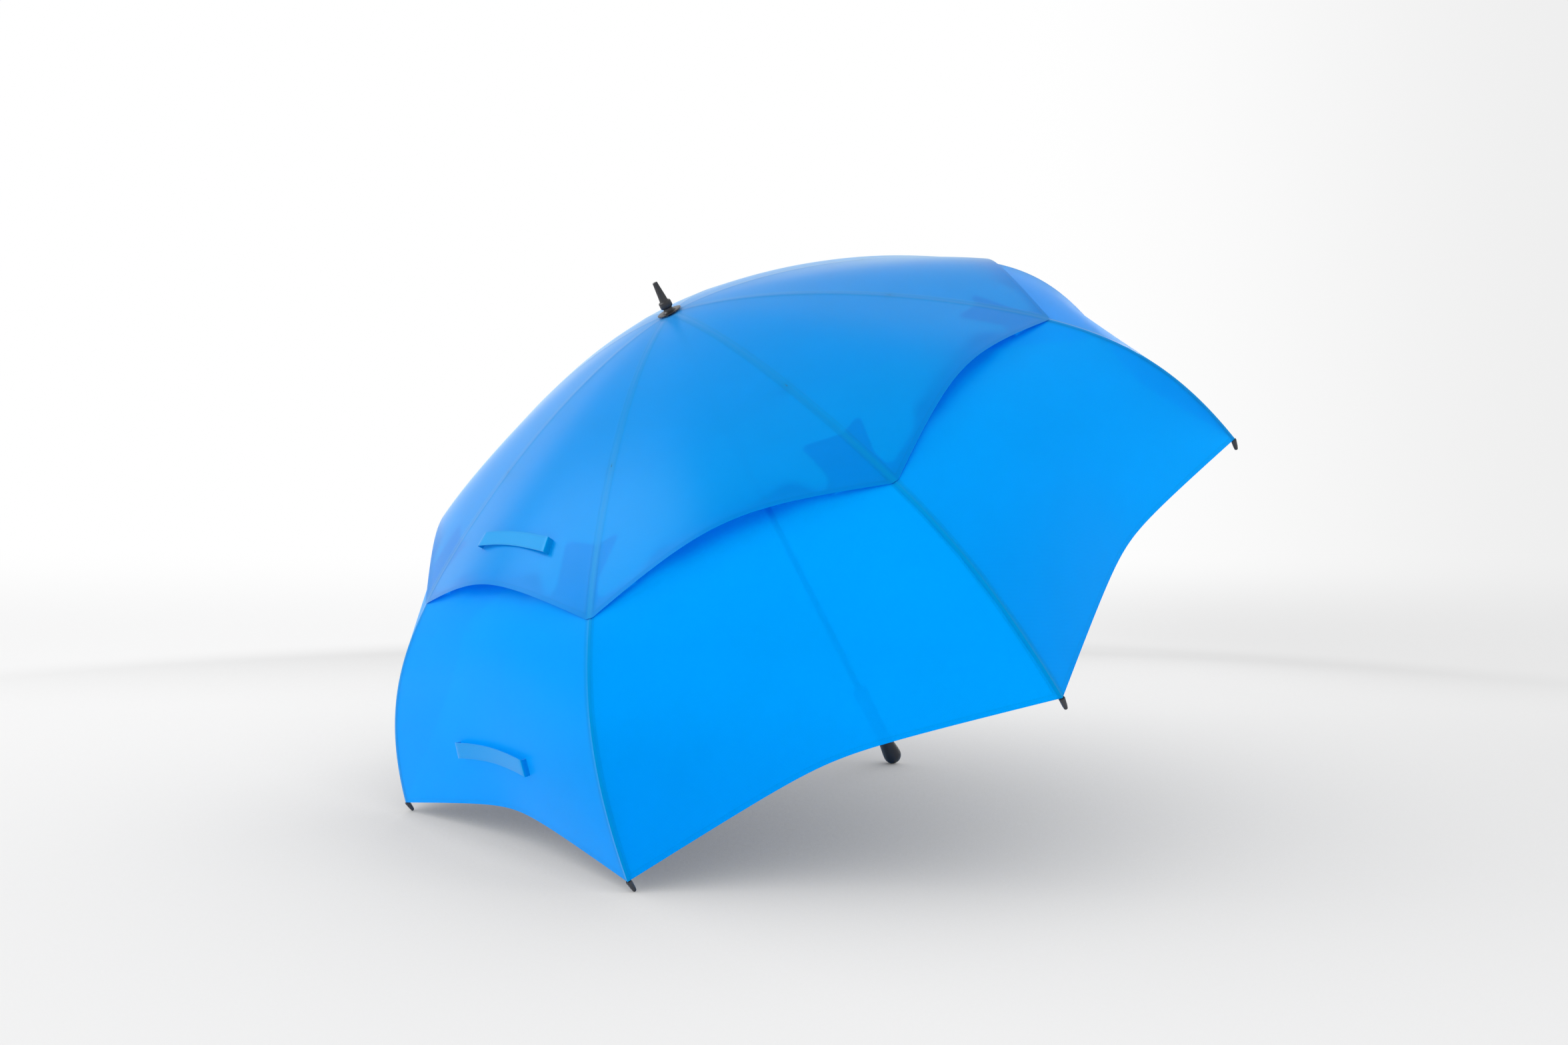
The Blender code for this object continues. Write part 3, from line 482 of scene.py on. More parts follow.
def lower_gore(name, height, cloth, place):
    """Lower canopy between two ribs, with half a tab at each side of the notch under the vent."""
    start, foot = arc_at(TAB_RADIUS), arc_at(NOTCH_RADIUS)
    columns = cloth.columns
    even = spread(columns, cloth.band / (TAB_RADIUS * math.sin(HALF_STEP)))
    sides = [min(range(columns + 1), key=lambda c: abs(even[c] - side)) for side in TAB_SIDES]

    def notch_arc(across):
        under_tab = smooth(NOTCH_MIDDLE_ACROSS, NOTCH_TAB_ACROSS, abs(across))
        middle = NOTCH_RADIUS + NOTCH_TILT * across
        return arc_at(middle + (NOTCH_TAB_RADIUS - middle) * under_tab)

    def shift(i, j, across, arcs, half):
        arc = arcs[j]
        down = min(max((arc - start) / (foot - start), 0), 1)
        left, right = (side + (low - side) * down for side, low in zip(TAB_SIDES, TAB_FEET))
        fade = min(max((arcs[-1] - arc) / (arcs[-1] - foot), 0), 1)
        here = spread(columns, min(cloth.band / half, WIDEST_SEAM_SHARE))
        if i <= sides[0]:
            goal = -1 + (across + 1) * (left + 1) / (here[sides[0]] + 1)
        elif i >= sides[1]:
            goal = 1 - (1 - across) * (1 - right) / (1 - here[sides[1]])
        else:
            share = (across - here[sides[0]]) / (here[sides[1]] - here[sides[0]])
            goal = left + (right - left) * share
        across += (goal - across) * fade
        inside = min(across - left, right - across) * half
        edge = notch_arc(across) - (fillet(inside, NOTCH_ROUNDING) if inside > 0 else NOTCH_ROUNDING)
        width = (1 + left if across < 0 else 1 - right) * half
        corner = min(TAB_ROUNDING, TAB_ROUNDING_SHARE * width)
        top = start + (fillet(-inside, corner) if inside <= 0 else corner)
        top += TAB_SLANT * min(1 - abs(across), 1 - abs(left if across < 0 else right)) * half
        if j <= NOTCH_ROWS:
            arc = top + (edge - top) * (arc - start) / (arcs[NOTCH_ROWS] - start)
        else:
            arc = edge + (arcs[-1] - edge) * (arc - arcs[NOTCH_ROWS]) / (arcs[-1] - arcs[NOTCH_ROWS])
        return across, arc, FAR

    shape = bmesh.new()
    facts = lay_gore(shape, lower_point, TAB_RADIUS, CANOPY_RADIUS, height, cloth, shift)
    gone = []
    for face in shape.faces:
        cells = [facts[v] for v in face.verts]
        i = min(cell[4] for cell in cells)
        j = max(cell[5] for cell in cells)
        if sides[0] <= i < sides[1] and j <= NOTCH_ROWS:
            gone.append(face)
    bmesh.ops.delete(shape, geom=gone, context="FACES")
    bmesh.ops.transform(shape, matrix=place, verts=shape.verts[:])
    return to_mesh(name, shape)


def fillet(distance, radius):
    """How far a rounded corner cuts in, that far from where it starts."""
    if distance >= radius:
        return 0
    return radius - math.sqrt(radius**2 - (radius - max(distance, 0)) ** 2)


def wall(made, thickness):
    """Gives a sheet its thickness, inwards, so that its outer face stays, with crisp edges."""
    solid = made.modifiers.new("wall", "SOLIDIFY")
    solid.thickness = thickness
    solid.offset = -1
    solid.use_even_offset = True
    apply_modifiers(made)
    made.data.set_sharp_from_angle(angle=math.radians(40))


def apply_modifiers(made):
    """Replaces the mesh by its finished form."""
    depsgraph = bpy.context.evaluated_depsgraph_get()
    depsgraph.update()
    made.data = bpy.data.meshes.new_from_object(made.evaluated_get(depsgraph))
    made.modifiers.clear()


# Lengths and shares in the cloth's finish
RISING_RIDGES = 0.3  # height of the twill's ridges that rise to the right, and of those that fall
FALLING_RIDGES = 0.2
DOUBLED_SHARE = 0.95  # of the seam's width, that looks doubled
BAND_EDGE_SHARE = 0.85  # of the seam's width, from where the light through it grows
CLOUD_DEPTH = 0.08  # how far the brightness of the cloth wanders
SLANT_POWER = 8.0  # larger keeps the painted sheen nearer to the cloth's outline
STITCH_HEIGHT = 0.8  # beside the ridges of the twill
STITCH_LINE_SHARE = 0.8  # of the seam's width, from the edge to the stitches
STITCH_HALF_WIDTH = 0.00035
STITCH_STEP = 0.0030
STITCH_SHARE = 0.72  # of a step, where the thread shows
ROD_EDGES = (0.0018, 0.0046)  # from a seam's middle, where the rod under it stops holding light back
PAINTED_SHADE_REACH = 0.11  # from the vent's edge outwards, where shade under the upper canopy is still painted on the lower one
PAINTED_SHADE_FADE = 0.05
TAB_SHADE_SIDES = (0.045, 0.075)  # from a rib, where the tabs stop being kept free of the painted shade
TAB_SHADE_ENDS = (0.128, 0.114)  # the same, inwards from where the painted shade ends
PAINTED_SHADE_RANGE = (0.25, 0.95)  # share of open sky, from ambient occlusion, at which the painted shade is deepest and at which it is gone
BLUE_LEFT = 0.55  # share of blue that stays in the deepest painted shade


def cloth_finish(name, colour, cloth, through, clear, at_rod, in_band, gloss, painted_shade_end):
    """Twill: fine diagonal ridges, doubled and stitched seams, light from both sides, painted sheen at a slant.

    through is the share of light that passes scattered and clear the share that passes straight. at_rod and
    in_band say how much of it is left over a rib's rod and in the doubled cloth. Nearer to the crown than
    its last argument, shade from ambient occlusion is painted into the colour
    where other cloth lies close above.
    """
    made, tree = material(name)

    def sum_of(first, share, second):
        return math_node(tree, "MULTIPLY_ADD", first, share, second)

    def product(first, second):
        return math_node(tree, "MULTIPLY", first, second)

    def larger(first, second):
        return math_node(tree, "MAXIMUM", first, second)

    def tinted(first, second):
        return node(tree, "ShaderNodeVectorMath", {0: first, 1: second}, operation="MULTIPLY").outputs[0]

    weave = node(tree, "ShaderNodeUVMap", uv_map="weave").outputs[0]
    edges = node(tree, "ShaderNodeUVMap", uv_map="edges").outputs[0]
    flat = node(tree, "ShaderNodeSeparateXYZ", {0: weave})
    near = node(tree, "ShaderNodeSeparateXYZ", {0: edges})
    x, y = flat.outputs[0], flat.outputs[1]
    seam, hem = near.outputs[0], near.outputs[1]

    turns = 2 * math.pi / (cloth.weave * math.sqrt(2))
    rising = math_node(tree, "SINE", product(math_node(tree, "ADD", x, y), turns))
    falling = math_node(tree, "SINE", product(math_node(tree, "SUBTRACT", x, y), turns))
    threads = sum_of(rising, RISING_RIDGES, product(falling, FALLING_RIDGES))

    edge = math_node(tree, "MINIMUM", seam, hem)
    doubled = math_node(tree, "LESS_THAN", edge, cloth.band * DOUBLED_SHARE)
    from_line = math_node(tree, "ABSOLUTE", math_node(tree, "SUBTRACT", edge, cloth.band * STITCH_LINE_SHARE))
    on_line = math_node(tree, "LESS_THAN", from_line, STITCH_HALF_WIDTH)
    by_seam = math_node(tree, "LESS_THAN", seam, hem)
    run = math_node(tree, "ADD", product(by_seam, y), product(math_node(tree, "SUBTRACT", 1.0, by_seam), x))
    step = math_node(tree, "FRACT", math_node(tree, "DIVIDE", run, STITCH_STEP))
    stitch = product(on_line, math_node(tree, "LESS_THAN", step, STITCH_SHARE))

    cloudy = node(tree, "ShaderNodeTexNoise", {
        "Vector": weave, "Scale": 9.0, "Detail": 3.0, "Roughness": 0.55,
    })
    shade = sum_of(cloudy.outputs[0], CLOUD_DEPTH, 1 - CLOUD_DEPTH / 2)
    for mark, strength in ((threads, 0.07), (doubled, -0.02), (stitch, -0.08)):
        shade = sum_of(mark, strength, shade)

    # Painted shade: ambient occlusion darkens the colour where other cloth lies close above. It is kept off back
    # faces, beyond its reach and on the tabs, and it turns bluer as it deepens.
    open_sky = node(tree, "ShaderNodeAmbientOcclusion", {"Distance": cloth.painted_shade_reach}, samples=6).outputs["AO"]
    open_sky = larger(open_sky, node(tree, "ShaderNodeNewGeometry").outputs["Backfacing"])
    open_sky = larger(open_sky, eased(tree, y, painted_shade_end - PAINTED_SHADE_FADE, painted_shade_end))
    tab_start, tab_end = (painted_shade_end - length for length in TAB_SHADE_ENDS)
    on_tab = math_node(tree, "MINIMUM", eased(tree, seam, *TAB_SHADE_SIDES, 1.0, 0.0),
                       eased(tree, y, tab_start, tab_end, 1.0, 0.0))
    open_sky = larger(open_sky, on_tab)
    painted_shade = eased(tree, open_sky, *PAINTED_SHADE_RANGE, cloth.deepest_painted_shade, 1.0)
    painted_shade_tint = node(tree, "ShaderNodeCombineXYZ", {0: painted_shade, 1: painted_shade, 2: sum_of(painted_shade, 1 - BLUE_LEFT, BLUE_LEFT)})
    shade = tinted(painted_shade_tint.outputs[0], shade)

    bump = node(tree, "ShaderNodeBump", {
        "Strength": 0.35, "Distance": 0.00012, "Height": sum_of(stitch, STITCH_HEIGHT, threads),
    }).outputs[0]
    front = node(tree, "ShaderNodeBsdfPrincipled", {
        "Base Color": tinted((*colour,), shade), "Roughness": sum_of(threads, 0.04, 0.29), "Normal": bump,
        "Specular IOR Level": gloss, "Specular Tint": (0.0, 0.45, 1.0, 1.0),
        "Sheen Weight": 0.06, "Sheen Roughness": 0.20, "Sheen Tint": (0.20, 0.80, 1.0, 1.0),
    })
    # Painted sheen: this pale diffuse colour is mixed in more strongly the nearer the cloth is to edge-on.
    painted_sheen = node(tree, "ShaderNodeBsdfDiffuse", {"Color": (*cloth.painted_sheen, 1), "Normal": bump})
    slant = node(tree, "ShaderNodeLayerWeight", {"Blend": 0.5}).outputs["Facing"]
    front = node(tree, "ShaderNodeMixShader", {
        0: math_node(tree, "POWER", slant, SLANT_POWER), 1: front.outputs[0], 2: painted_sheen.outputs[0],
    })
    back = node(tree, "ShaderNodeBsdfTranslucent", {
        "Color": tinted((*cloth.glow_colour,), shade), "Normal": bump,
    })
    gap = node(tree, "ShaderNodeBsdfTransparent", {"Color": (*cloth.glow_colour, 1)})

    beside_rod = eased(tree, seam, *ROD_EDGES, at_rod, 1.0)
    outside_band = eased(tree, seam, BAND_EDGE_SHARE * cloth.band, cloth.band, in_band, 1.0)
    body = node(tree, "ShaderNodeMixShader", {
        0: product(outside_band, product(beside_rod, through)), 1: front.outputs[0], 2: back.outputs[0],
    })
    whole = node(tree, "ShaderNodeMixShader", {
        0: product(beside_rod, clear), 1: body.outputs[0], 2: gap.outputs[0],
    })
    finish_surface(tree, whole.outputs[0])
    return made


def strap_outline(length):
    """(along, height) of a band on two short legs with rounded bends, flat on top."""
    half = length / 2
    angles = [math.radians(a) for a in (30, 60, 90)]
    run = [(-half, 0.0)]
    run += [(-half, (STRAP_STANDOFF - STRAP_BEND) * share) for share in (0.5, 1.0)]
    run += [(-half + STRAP_BEND * (1 - math.cos(a)), STRAP_STANDOFF - STRAP_BEND + STRAP_BEND * math.sin(a))
            for a in angles]
    legs = len(run)
    flat, steps = length - 2 * STRAP_BEND, 24
    run += [(-half + STRAP_BEND + flat * i / steps, STRAP_STANDOFF) for i in range(1, steps)]
    return run + [(-x, z) for x, z in reversed(run[:legs])]


def strap_mesh(name, surface, radius, middle, length, slack, height, place):
    """A sewn band across the middle of a gore, in line with the cloth under it. slack lets its middle sag."""
    half = length / 2
    run = strap_outline(length)
    shape = bmesh.new()
    bmesh.ops.create_grid(shape, x_segments=len(run) - 1, y_segments=6, size=1)
    weave = shape.loops.layers.uv.new("weave")
    edge = shape.loops.layers.uv.new("edges")
    slope = math.hypot(rib_slope(radius), 1)
    side = radius * math.sin(HALF_STEP)
    lengths = [0.0]
    for (ax, az), (bx, bz) in zip(run, run[1:]):
        lengths.append(lengths[-1] + math.hypot(bx - ax, bz - az))
    facts = {}
    for spot in shape.verts:
        i = round((spot.co.x + 1) / 2 * (len(run) - 1))
        down = (1 - spot.co.y) / 2
        x, lift = run[i]
        offset = (down - 0.5) * STRAP_WIDTH
        lift -= slack * max(1 - (x / half) ** 2, 0) * min(lift / STRAP_STANDOFF, 1)
        spot.co = surface(radius + offset / slope, (middle + x) / side, height + lift)
        facts[spot] = (lengths[i], offset)
    bmesh.ops.reverse_faces(shape, faces=shape.faces[:])
    clear_of_rod = 0.004
    for face in shape.faces:
        for loop in face.loops:
            along, offset = facts[loop.vert]
            loop[weave].uv = (along, offset)
            loop[edge].uv = (STRAP_WIDTH / 2 - abs(offset) + clear_of_rod, FAR)
    bmesh.ops.transform(shape, matrix=place, verts=shape.verts[:])
    return to_mesh(name, shape)


def cloth_heights(cloth):
    """Of the lower and the upper canopy's outer faces over the rods' line."""
    lower = ROD_TO_CLOTH + cloth.thickness
    return lower, lower + LAYER_SHARE * cloth.thickness + 2 * cloth.band_lift


# Operators


class UMBRELLA_OT_canopies(bpy.types.Operator):
    """Makes the gores of both canopies"""

    bl_idname = "umbrella.canopies"
    bl_label = "Canopies"

    def execute(self, context):
        cloth = context.scene.umbrella_cloth
        upper = cloth_finish(
            "upper canopy twill", cloth.upper_colour, cloth,
            through=cloth.upper_through, clear=cloth.upper_clear,
            at_rod=0.62, in_band=1.0, gloss=0.30, painted_shade_end=0,
        )
        lower = cloth_finish(
            "lower canopy twill", cloth.lower_colour, cloth,
            through=cloth.lower_through, clear=cloth.lower_clear,
            at_rod=0.22, in_band=0.90, gloss=0.40, painted_shade_end=arc_at(VENT_RADIUS) + PAINTED_SHADE_REACH,
        )
        lower_height, upper_height = cloth_heights(cloth)
        for number in range(1, RIBS + 1):
            place = panel_turn(number)
            mesh = upper_gore(f"upper canopy {number}", upper_height, cloth, place)
            made = piece(f"upper_canopy_{number}", mesh, upper, f"upper_panel_{number}",
                         [f"upper_panel_{number}"])
            wall(made, cloth.thickness)
            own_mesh(made)
            mesh = lower_gore(f"lower canopy {number}", lower_height, cloth, place)
            made = piece(f"lower_canopy_{number}", mesh, lower, f"lower_panel_{number}",
                         [f"lower_panel_{number}"])
            wall(made, cloth.thickness)
            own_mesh(made)
        return {"FINISHED"}


class UMBRELLA_OT_straps(bpy.types.Operator):
    """Makes the two bands sewn across one panel"""

    bl_idname = "umbrella.straps"
    bl_label = "Straps"

    def execute(self, context):
        cloth = context.scene.umbrella_cloth
        finish = cloth_finish(
            "strap twill", cloth.lower_colour, cloth, through=0.10, clear=0.05,
            at_rod=1.0, in_band=1.0, gloss=0.30, painted_shade_end=-1,
        )
        lower_height, upper_height = cloth_heights(cloth)
        place = panel_turn(1)
        upper = strap_mesh("upper strap", upper_point, radius=0.4145, middle=-0.014, length=0.138,
                           slack=0.0052, height=upper_height, place=place)
        lower = strap_mesh("lower strap", lower_point, radius=0.6095, middle=0.0, length=0.148,
                           slack=0.001, height=lower_height, place=place)
        bands = (("upper", upper, UPPER_KEEP, 0.140), ("lower", lower, LOWER_KEEP, 0.160))
        for name, mesh, keep, laid in bands:
            made = piece(f"{name}_strap_band", mesh, finish, f"{name}_panel_1",
                         [f"{name}_strap"])
            wall(made, STRAP_THICKNESS)
            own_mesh(made)
        return {"FINISHED"}


class UMBRELLA_OT_fittings(bpy.types.Operator):
    """Makes the ferrule, top disc, rib tips and handle"""

    bl_idname = "umbrella.fittings"
    bl_label = "Fittings"

    def execute(self, context):
        fittings = context.scene.umbrella_fittings
        plastic = plastic_finish("moulded black plastic", fittings.plastic_colour, 0.36)
        grip = plastic_finish("soft grip", fittings.grip_colour, 0.5)
        sides = fittings.sides
        ferrule = turned("ferrule", ferrule_profile(), AS_IT_LIES, sides)
        piece("ferrule_spike", ferrule, plastic, "shaft", ["ferrule"])
        disc = turned("top disc", disc_profile(), AS_IT_LIES, 64)
        piece("top_disc_cap", disc, plastic, "shaft", ["top_disc"])
        handle = turned("handle", handle_profile(), AS_IT_LIES, 64)
        piece("handle_grip", handle, grip, "shaft", ["handle"])
        for number in range(1, RIBS + 1):
            place = rib_turn(number) @ Matrix.Translation(TIP_END)
            tip = turned(f"rib tip {number}", tip_profile(), place, 24)
            piece(f"rib_tip_cap_{number}", tip, plastic, f"rib_outer_{number}",
                  [f"rib_tip_{number}"])
        return {"FINISHED"}


# The fittings' outlines are (radius, height) along the shaft, from one end to the other

TIP_END = Vector((0, over_rib(CANOPY_RADIUS, -ROD_RADIUS)[0], -CANOPY_DEPTH - TIP_LENGTH))


def ferrule_profile():
    """The moulded spike: peg, collar and a neck that flares on to the disc."""
    low, top = 0.0096, 0.0191  # of the collar
    side, soft, flat = 0.0087, 0.0083, 0.0073  # radii of its side, its rounded edge and its end faces
    outline = [(0, FERRULE_TOP), (0.0029, FERRULE_TOP), (0.0034, FERRULE_TOP - 0.0005)]
    outline += [(0.00585, top + 0.0008), (0.0066, top), (flat, top), (soft, top - 0.0007)]
    outline += [(side, top - 0.0018), (side, low + 0.0018), (soft, low + 0.0007)]
    outline += [(flat, low), (0.0064, low - 0.0002)]
    neck, flare, seat = 0.0062, 0.0036, 0.0043
    for share in (0.25, 0.45, 0.62, 0.76, 0.88, 0.96, 1):
        outline.append((neck + flare * share**3, low - (low - seat) * share))
    bore_end = 0.0163
    return outline + [(FITTING_BORE, seat), (FITTING_BORE, bore_end), (0, bore_end)]


def disc_profile():
    """A thin cap with a rounded rim."""
    low, thick, rim = 0.0031, 0.0009, 0.0173
    edge = [(rim - 0.0008, 1), (rim - 0.0002, 0.8), (rim, 0.45), (rim - 0.0002, 0.1), (rim - 0.0008, 0)]
    run = [(FITTING_BORE, 0), (FITTING_BORE, 1), *edge, (FITTING_BORE, 0)]
    return [(radius, low + thick * share) for radius, share in run]


def handle_profile():
    """A straight grip that swells towards its rounded end."""
    top = -HANDLE_TOP_DEPTH
    grip, end_radius, end_flat = 0.0113, 0.0143, 0.0040
    centre = top - HANDLE_LENGTH + end_radius
    bore_end, swell_length = -0.8003, 0.034
    outline = [(0, bore_end), (FITTING_BORE, bore_end), (FITTING_BORE, top)]
    outline += [(0.0098, top), (0.0109, top - 0.0005), (grip, top - 0.0015)]
    steps = 16
    for i in range(steps + 1):
        swell = (end_radius - grip) * smooth(0, steps, i)
        outline.append((grip + swell, centre + swell_length * (1 - i / steps)))
    last, steps = math.acos(end_flat / end_radius), 13
    for i in range(1, steps + 1):
        turn = last * i / steps
        outline.append((end_radius * math.cos(turn), centre - end_radius * math.sin(turn)))
    return outline + [(0, outline[-1][1])]


def tip_profile():
    """A cap that tapers from the cloth to a rounded end."""
    top, end = TIP_LENGTH - 0.0004, 0.0022
    angles = [math.radians(a) for a in (18, 36, 54, 72, 90)]
    outline = [(0, 0)] + [(end * math.sin(a), end * (1 - math.cos(a))) for a in angles]
    outline += [(0.0027, 0.0050), (0.00335, 0.0136), (0.00345, top - 0.0006), (0.0031, top)]
    bore, bore_depth = 0.0019, 0.009
    return outline + [(bore, top), (bore, top - bore_depth), (0, top - bore_depth)]


GLOSS_RANGE = 0.22  # how far a fitting's roughness wanders
WEAR_DEPTH = 0.5  # and its brightness


def plastic_finish(name, colour, roughness):
    """Moulded black plastic with a faint uneven gloss."""
    made, tree = material(name)
    where = node(tree, "ShaderNodeTexCoord").outputs["Object"]
    grain = node(tree, "ShaderNodeTexNoise", {"Vector": where, "Scale": 900.0, "Detail": 3.0})
    wear = node(tree, "ShaderNodeTexNoise", {"Vector": where, "Scale": 60.0, "Detail": 4.0})
    rough = math_node(tree, "MULTIPLY_ADD", wear.outputs[0], GLOSS_RANGE, roughness - GLOSS_RANGE / 2)
    shade = math_node(tree, "MULTIPLY_ADD", wear.outputs[0], WEAR_DEPTH, 1 - WEAR_DEPTH / 2)
    tint = node(tree, "ShaderNodeVectorMath", {0: (*colour,), 1: shade}, operation="MULTIPLY")
    bump = node(tree, "ShaderNodeBump", {"Strength": 0.25, "Distance": 0.00008, "Height": grain.outputs[0]})
    shader = node(tree, "ShaderNodeBsdfPrincipled", {
        "Base Color": tint.outputs[0], "Roughness": rough, "Normal": bump.outputs[0],
    })
    finish_surface(tree, shader.outputs[0])
    return made


class UMBRELLA_OT_ribs(bpy.types.Operator):
    """Gives the ribs, stretchers, shaft and hubs their finishes"""

    bl_idname = "umbrella.ribs"
    bl_label = "Ribs and hubs"

    def execute(self, context):
        fittings = context.scene.umbrella_fittings
        plastic = plastic_finish("hub plastic", fittings.plastic_colour, 0.38)
        rod = plastic_finish("glassfibre", fittings.rod_colour, 0.3)
        metal, tree = material("anodised tube")
        where = node(tree, "ShaderNodeTexCoord").outputs["Object"]
        drawn = node(tree, "ShaderNodeTexNoise", {"Vector": where, "Scale": 300.0, "Detail": 2.0})
        rough = math_node(tree, "MULTIPLY_ADD", drawn.outputs[0], 0.16, 0.24)
        shader = node(tree, "ShaderNodeBsdfPrincipled", {
            "Base Color": (*fittings.metal_colour, 1), "Metallic": 0.9, "Roughness": rough,
        })
        finish_surface(tree, shader.outputs[0])
        for name, made in frame["nodes"].items():
            if name.startswith(("rib_inner", "rib_outer")):
                finish = rod
            elif name in ("shaft", "opening_spring", "button_spring"):
                finish = metal
            else:
                finish = plastic
            made.data.materials.clear()
            made.data.materials.append(finish)
        return {"FINISHED"}


# Camera and stage, as fitted to the photograph
CAMERA_PLACE = (-1.2236, 0.9994, -0.2912)  # from the umbrella's centre
CAMERA_ANGLES = (134.884, 0.324, 0.2606)  # yaw from +Y towards +X, pitch up and roll, in degrees
FOCAL_LENGTH = 26.652
SENSOR_WIDTH = 36
COVE = 0.35
FLOOR_BEHIND_CAMERA = 6
WALL_HEIGHT = 6
STAGE_HALF_WIDTH = 9
PAINTED_SHADOW_REACH = (0.9, 2.6)  # from the origin, where the painted shadow on the floor ends
FLOOR_PAINTED_FALLOFF = (0.0, 1.8, 1.0, 0.87)  # from and to this far right of the origin, from and to this brightness: painted shade towards the right
# The same painted shade towards the right, on the wall
WALL_PAINTED_FALLOFF = (0.8, 3.2, 1.0, 0.86)
WALL_START = (0.0, 0.30)  # heights between which the floor's look gives way to the wall's


class UMBRELLA_OT_stage(bpy.types.Operator):
    """Sets the camera, the lamps, the floor and the wall"""

    bl_idname = "umbrella.stage"
    bl_label = "Stage"

    def execute(self, context):
        stage = context.scene.umbrella_stage
        eye = CENTRE + Vector(CAMERA_PLACE)
        yaw, pitch, roll = (math.radians(angle) for angle in CAMERA_ANGLES)
        forward = Vector((math.sin(yaw) * math.cos(pitch), math.cos(yaw) * math.cos(pitch), math.sin(pitch)))
        right = Vector((math.cos(yaw), -math.sin(yaw), 0))
        up = right.cross(forward)
        tilted = math.cos(roll) * right + math.sin(roll) * up
        upright = -math.sin(roll) * right + math.cos(roll) * up
        lens = bpy.data.cameras.new("camera")
        lens.lens = FOCAL_LENGTH
        lens.sensor_width = SENSOR_WIDTH
        lens.clip_start = 0.05
        camera = bpy.data.objects.new("camera", lens)
        camera.matrix_world = Matrix((tilted, upright, -forward)).transposed().to_4x4()
        camera.location = eye
        context.scene.collection.objects.link(camera)
        context.scene.camera = camera
        level = Vector((forward.x, forward.y, 0)).normalized()
        self.backdrop(context, stage, eye, level, right)
        self.lamps(context, stage, level, right)
        return {"FINISHED"}

    def backdrop(self, context, stage, eye, level, right):
        """One sheet of floor, cove and wall behind, with a painted shadow under the umbrella and painted shade
        towards the right.
        """
        made, tree = material("pale stage")
        seen = node(tree, "ShaderNodeLightPath").outputs["Is Camera Ray"]
        place = node(tree, "ShaderNodeTexCoord").outputs["Object"]
        height = node(tree, "ShaderNodeSeparateXYZ", {0: place}).outputs[2]
        away = node(tree, "ShaderNodeVectorMath", {0: place}, operation="LENGTH").outputs["Value"]
        aside = node(tree, "ShaderNodeVectorMath", {0: place, 1: right}, operation="DOT_PRODUCT")
        aside = aside.outputs["Value"]
        diffuse = node(tree, "ShaderNodeBsdfDiffuse", {"Color": (*stage.floor_colour, 1)})
        # Painted shadow: ambient occlusion sets the brightness of an emission that the camera sees on the floor.
        occlusion = node(tree, "ShaderNodeAmbientOcclusion", {"Distance": 2.0}, samples=16).outputs["AO"]
        under = math_node(tree, "POWER", occlusion, stage.painted_shadow_power)
        beyond_painted_shadow = eased(tree, away, *PAINTED_SHADOW_REACH)
        under = math_node(tree, "MAXIMUM", under, beyond_painted_shadow)
        # Painted shade: the floor's emission is also darker towards the right.
        shade = math_node(tree, "MULTIPLY", under, eased(tree, aside, *FLOOR_PAINTED_FALLOFF))
        pale = node(tree, "ShaderNodeVectorMath", {0: (*stage.floor_colour,), 1: shade}, operation="MULTIPLY")
        painted_floor_shadow = node(tree, "ShaderNodeEmission", {"Color": pale.outputs[0], "Strength": 1.0})
        plain = math_node(tree, "MULTIPLY", seen, stage.plain)
        floor = node(tree, "ShaderNodeMixShader", {0: plain, 1: diffuse.outputs[0], 2: painted_floor_shadow.outputs[0]})
        # Painted shade: the wall's emission is darker towards the right.
        wall_painted_falloff = eased(tree, aside, *WALL_PAINTED_FALLOFF)
        wall = node(tree, "ShaderNodeEmission", {"Color": (1, 1, 1, 1), "Strength": wall_painted_falloff})
        share = math_node(tree, "MULTIPLY", seen, eased(tree, height, *WALL_START))
        both = node(tree, "ShaderNodeMixShader", {0: share, 1: floor.outputs[0], 2: wall.outputs[0]})
        finish_surface(tree, both.outputs[0])
        foot = Vector((eye.x, eye.y, 0))
        shape = bmesh.new()
        bend = stage.wall_distance - COVE
        line = [(-FLOOR_BEHIND_CAMERA, 0), (bend, 0)]
        line += [(bend + COVE * math.sin(math.radians(a)), COVE * (1 - math.cos(math.radians(a))))
                 for a in range(10, 91, 10)]
        line += [(stage.wall_distance, WALL_HEIGHT)]
        left = foot - right * STAGE_HALF_WIDTH
        spots = [shape.verts.new(left + level * away + Vector((0, 0, z))) for away, z in line]
        edges = [shape.edges.new(pair) for pair in zip(spots, spots[1:])]
        grown = bmesh.ops.extrude_edge_only(shape, edges=edges)
        moved = [v for v in grown["geom"] if isinstance(v, bmesh.types.BMVert)]
        bmesh.ops.translate(shape, vec=right * 2 * STAGE_HALF_WIDTH, verts=moved)
        bmesh.ops.recalc_face_normals(shape, faces=shape.faces[:])
        mesh = to_mesh("stage", shape)
        mesh.materials.append(made)
        backdrop = bpy.data.objects.new("stage", mesh)
        context.scene.collection.objects.link(backdrop)

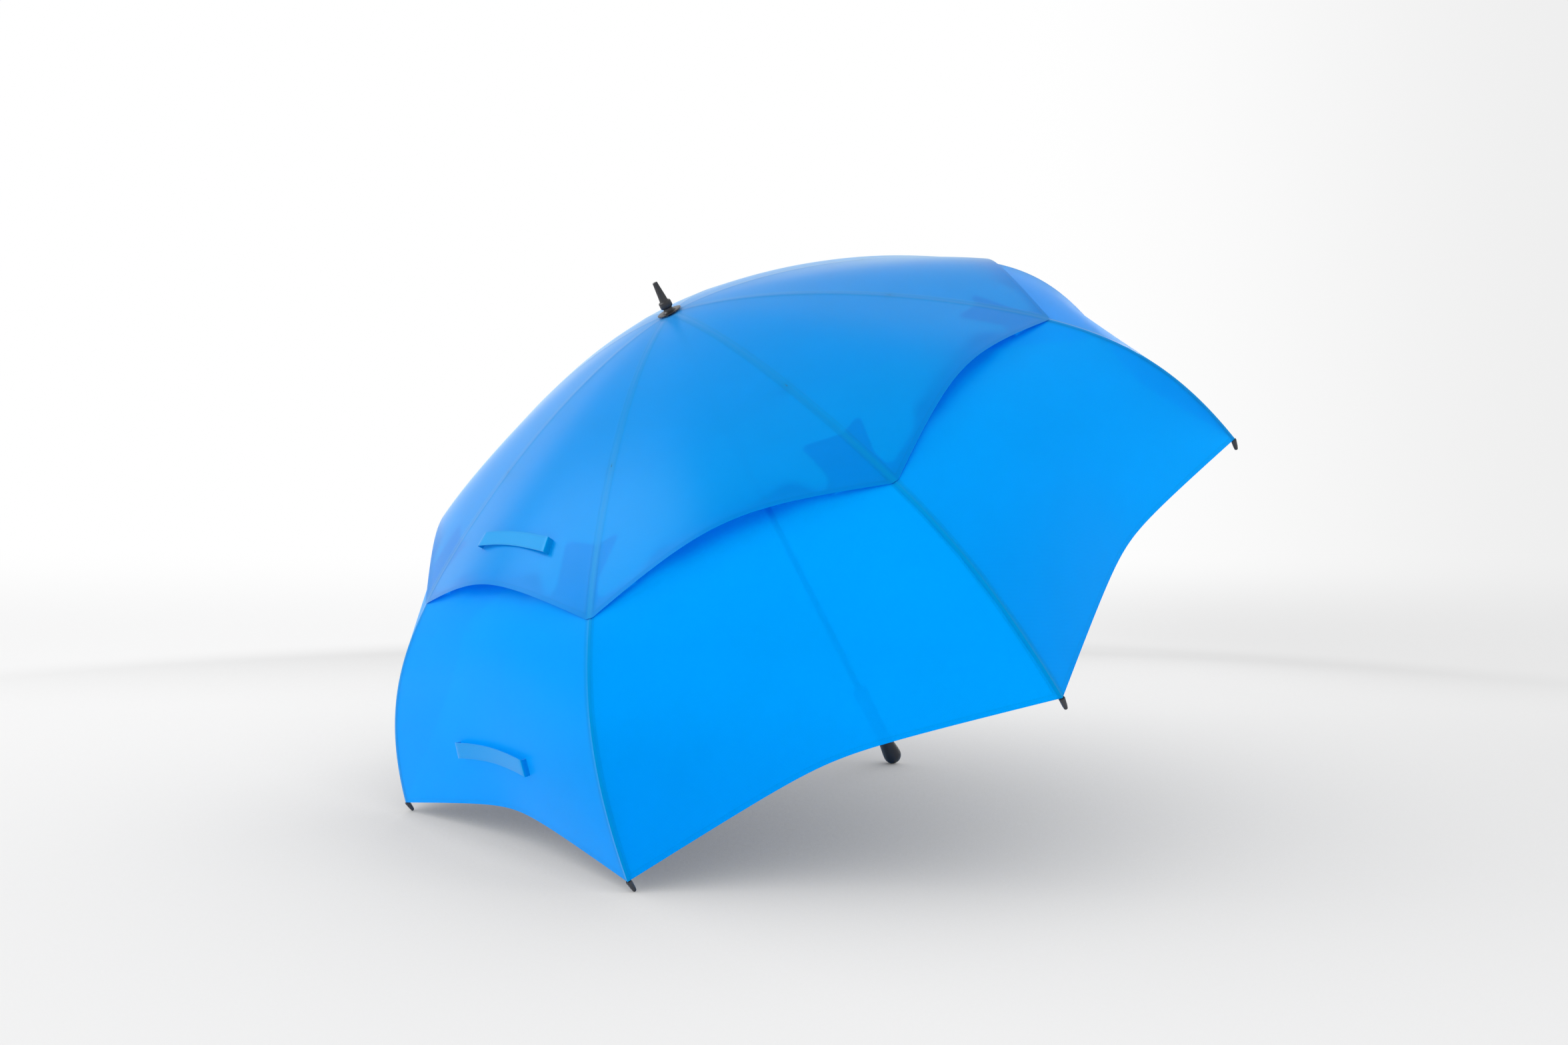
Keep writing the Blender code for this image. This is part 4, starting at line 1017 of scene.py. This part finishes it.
    def lamps(self, context, stage, level, right):
        """An even room, a large key lamp at the left, a weak fill and a lamp behind the umbrella."""
        world = bpy.data.worlds.new("room")
        world.use_nodes = True
        tree = world.node_tree
        tree.nodes.clear()
        rays = node(tree, "ShaderNodeLightPath")
        room = node(tree, "ShaderNodeBackground", {"Color": (1, 1, 1, 1), "Strength": stage.sky})
        seen = node(tree, "ShaderNodeBackground", {"Color": (1, 1, 1, 1), "Strength": 1.0})
        pick = node(tree, "ShaderNodeMixShader", {
            0: rays.outputs["Is Camera Ray"], 1: room.outputs[0], 2: seen.outputs[0],
        })
        node(tree, "ShaderNodeOutputWorld", {"Surface": pick.outputs[0]})
        context.scene.world = world
        for name, place, size, watts in (
            ("key", -level * 0.3 - right * 3.4 + Vector((0, 0, 2.1)), 2.2, stage.key),
            ("fill", -level * 2.6 + right * 1.0 + Vector((0, 0, 1.6)), 2.5, stage.key * 0.07),
            ("back", level * 2.0 + right * 1.4 + Vector((0, 0, 0.22)), 1.0, stage.back),
        ):
            lamp = bpy.data.lights.new(name, "AREA")
            lamp.shape = "DISK"
            lamp.size = size
            lamp.energy = watts
            made = bpy.data.objects.new(name, lamp)
            made.visible_camera = False
            made.location = CENTRE + place
            made.rotation_euler = (-place).to_track_quat("-Z", "Y").to_euler()
            context.scene.collection.objects.link(made)
        context.scene.view_settings.view_transform = "Standard"


class UMBRELLA_PT_panel(bpy.types.Panel):
    """Lists the umbrella's operators and settings"""

    bl_label = "Double canopy umbrella"
    bl_idname = "UMBRELLA_PT_panel"
    bl_space_type = "VIEW_3D"
    bl_region_type = "UI"
    bl_category = "Umbrella"

    def draw(self, context):
        layout = self.layout
        for kind in OPERATORS:
            layout.operator(kind.bl_idname)
        scene = context.scene
        for group in (scene.umbrella_cloth, scene.umbrella_fittings, scene.umbrella_stage):
            for name in group.__annotations__:
                layout.prop(group, name)


GROUPS = (UmbrellaCloth, UmbrellaFittings, UmbrellaStage)
OPERATORS = (
    UMBRELLA_OT_stage, UMBRELLA_OT_ribs, UMBRELLA_OT_canopies, UMBRELLA_OT_straps, UMBRELLA_OT_fittings,
)


def register():
    for kind in (*GROUPS, *OPERATORS, UMBRELLA_PT_panel):
        bpy.utils.register_class(kind)
    bpy.types.Scene.umbrella_cloth = PointerProperty(type=UmbrellaCloth)
    bpy.types.Scene.umbrella_fittings = PointerProperty(type=UmbrellaFittings)
    bpy.types.Scene.umbrella_stage = PointerProperty(type=UmbrellaStage)


def unregister():
    del bpy.types.Scene.umbrella_cloth
    del bpy.types.Scene.umbrella_fittings
    del bpy.types.Scene.umbrella_stage
    for kind in reversed((*GROUPS, *OPERATORS, UMBRELLA_PT_panel)):
        bpy.utils.unregister_class(kind)


def main():
    register()
    bpy.ops.umbrella.stage()
    bpy.ops.umbrella.ribs()
    bpy.ops.umbrella.canopies()
    bpy.ops.umbrella.straps()
    bpy.ops.umbrella.fittings()


if __name__ == "__main__":
    main()
